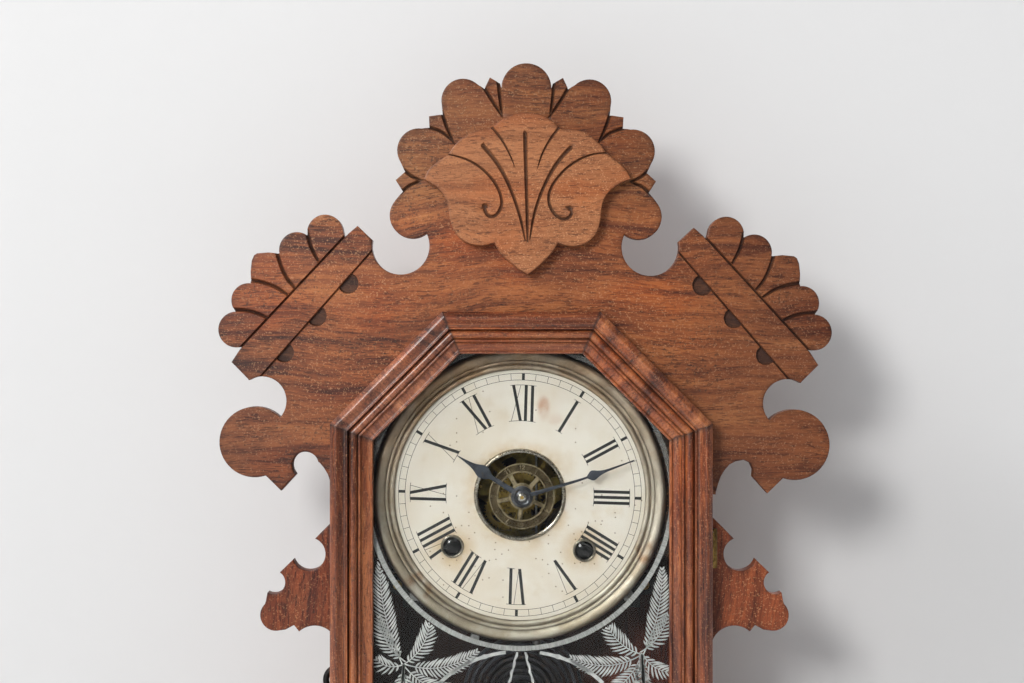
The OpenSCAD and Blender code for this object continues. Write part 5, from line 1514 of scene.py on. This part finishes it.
# ------------------------------------------------------------------ materials of the nodes that stay
assign("dial_paper", paper_mat)
assign("dial_pan", tin_mat)
assign("door_glass", glass_mat)
assign("case_sides", wood_case)
assign("case_top", wood_deck)
assign("back_board", wood_dark)
assign("front_frame", wood_case)
assign("inner_blocks", wood_block)
assign("glazing_strips", wood_block)
assign("base_front", wood_base)
assign("base_rails", wood_base)
assign("base_deck", wood_deck)
for n in ("hinge_leaves_door", "hinge_leaves_case", "hinge_pins", "door_screws", "case_screws"):
    assign(n, brass_hinge)
assign("front_plate", plate_mat)
assign("back_plate", plate_mat)
for n in ("time_main_wheel", "strike_main_wheel", "second_wheel", "center_wheel", "fourth_wheel", "escape_wheel",
          "strike_second_wheel", "fly", "motion_wheel", "hour_wheel", "suspension_cock", "pendulum_bob", "alarm_frame", "alarm_winder"):
    assign(n, brass_move)
for n in ("pillars", "pillar_nuts", "time_winding_arbor", "strike_winding_arbor", "verge", "pendulum_rod", "strike_hammer", "alarm_hammer"):
    assign(n, steel_part)
assign("mainsprings", spring_mat)
assign("gong", gong_mat)
assign("gong_base", iron_mat)
assign("latch_hook", iron_mat)


def ease(node, width, angle=40, segs=2):
    """A narrow bevel on a CAD node's sharp edges, by modifiers."""
    ob = NODE[node]
    w = ob.modifiers.new("join", "WELD")
    w.merge_threshold = 2e-6
    b = ob.modifiers.new("ease", "BEVEL")
    b.width = width * MM
    b.segments = segs
    b.limit_method = "ANGLE"
    b.angle_limit = math.radians(angle)
    b.use_clamp_overlap = True


for n, w in (("base_front", 0.5), ("base_rails", 0.5), ("base_deck", 0.6), ("case_sides", 0.4), ("case_top", 0.4), ("latch_hook", 0.3)):
    ease(n, w)


# ------------------------------------------------------------------ floor, wall and light
def studio():
    m = Mat("studio_pale")
    n = m.noise(m.mapping(scale=(3, 3, 3)), 1.0, 3.0, 0.5)
    x, y, z = m.xyz()
    # painted shade and light: the sheet is darker on the left and lighter at the upper right, evening out the lamps'
    # light on it
    right = m.mix(m.range(z, 0.25, 0.6), (0.82, 0.82, 0.82, 1), (0.91, 0.91, 0.91, 1))
    pale = m.mix(m.range(x, -0.33, 0.33, smooth=False), (0.745, 0.745, 0.745, 1), right)
    m.set(Base_Color=m.mix(m.range(n, 0.3, 0.7, 0.0, 0.03), pale, (0.6, 0.6, 0.6, 1)))
    m.bsdf.inputs["Roughness"].default_value = 0.9
    m.bsdf.inputs["Specular IOR Level"].default_value = 0.15
    # open from behind, so that the back of the clock can be seen and lit
    geo = m.node("ShaderNodeNewGeometry")
    lp = m.node("ShaderNodeLightPath")
    tr = m.node("ShaderNodeBsdfTransparent")
    mx = m.node("ShaderNodeMixShader")
    m.put(mx.inputs[0], m.math("MAXIMUM", geo.outputs["Backfacing"], lp.outputs["Is Shadow Ray"]))
    m.nt.links.new(m.bsdf.outputs[0], mx.inputs[1])
    m.nt.links.new(tr.outputs[0], mx.inputs[2])
    m.nt.links.new(mx.outputs[0], m.out.inputs[0])
    # floor and wall in one sheet with a round cove
    verts, faces = [], []
    R, WY = 0.02, 0.085
    prof_ = [(-2.6, 0.0), (-1.0, 0.0), (WY - R, 0.0)] + [(WY - R + R * math.sin(math.radians(a)), R - R * math.cos(math.radians(a))) for a in range(10, 91, 10)] + [(WY, 1.0), (WY, 2.6)]
    for x in (-3.2, -1.0, 0.0, 1.0, 3.2):
        for y, z in prof_:
            verts.append((x, y, z - 0.0002))
    k = len(prof_)
    for i in range(4):
        for j in range(k - 1):
            faces.append((i * k + j, (i + 1) * k + j, (i + 1) * k + j + 1, i * k + j + 1))
    me = bpy.data.meshes.new("studio_sheet")
    me.from_pydata(verts, [], faces)
    me.shade_smooth()
    me.materials.append(m.m)
    ob = bpy.data.objects.new("studio_sheet", me)
    scene.collection.objects.link(ob)


studio()


def area_light(name, loc, target, size, energy, color=(1, 1, 1), size_y=None):
    l = bpy.data.lights.new(name, "AREA")
    l.energy = energy
    l.size = size
    if size_y:
        l.shape = "RECTANGLE"
        l.size_y = size_y
    l.color = color
    ob = bpy.data.objects.new(name, l)
    scene.collection.objects.link(ob)
    ob.location = loc
    d = Vector(target) - Vector(loc)
    ob.rotation_euler = d.to_track_quat("-Z", "Y").to_euler()
    return ob


area_light("key", (-0.95, -1.86, 1.10), (0, 0, 0.38), 0.50, 24.5, (1.0, 0.985, 0.965))
area_light("rim", (-1.25, -0.72, 1.62), (0, 0, 0.40), 0.50, 13.0, (0.97, 0.985, 1.0))
area_light("veil", (-0.75, -2.1, 0.55), (0, 0, 0.40), 0.9, 2.5, (0.96, 0.98, 1.0))
area_light("back", (0.7, 1.7, 0.9), (0, 0, 0.30), 1.2, 14.0)
world = bpy.data.worlds.new("studio_world")
scene.world = world
world.use_nodes = True
world.node_tree.nodes["Background"].inputs[0].default_value = (0.94, 0.96, 1.0, 1)
world.node_tree.nodes["Background"].inputs[1].default_value = 0.225
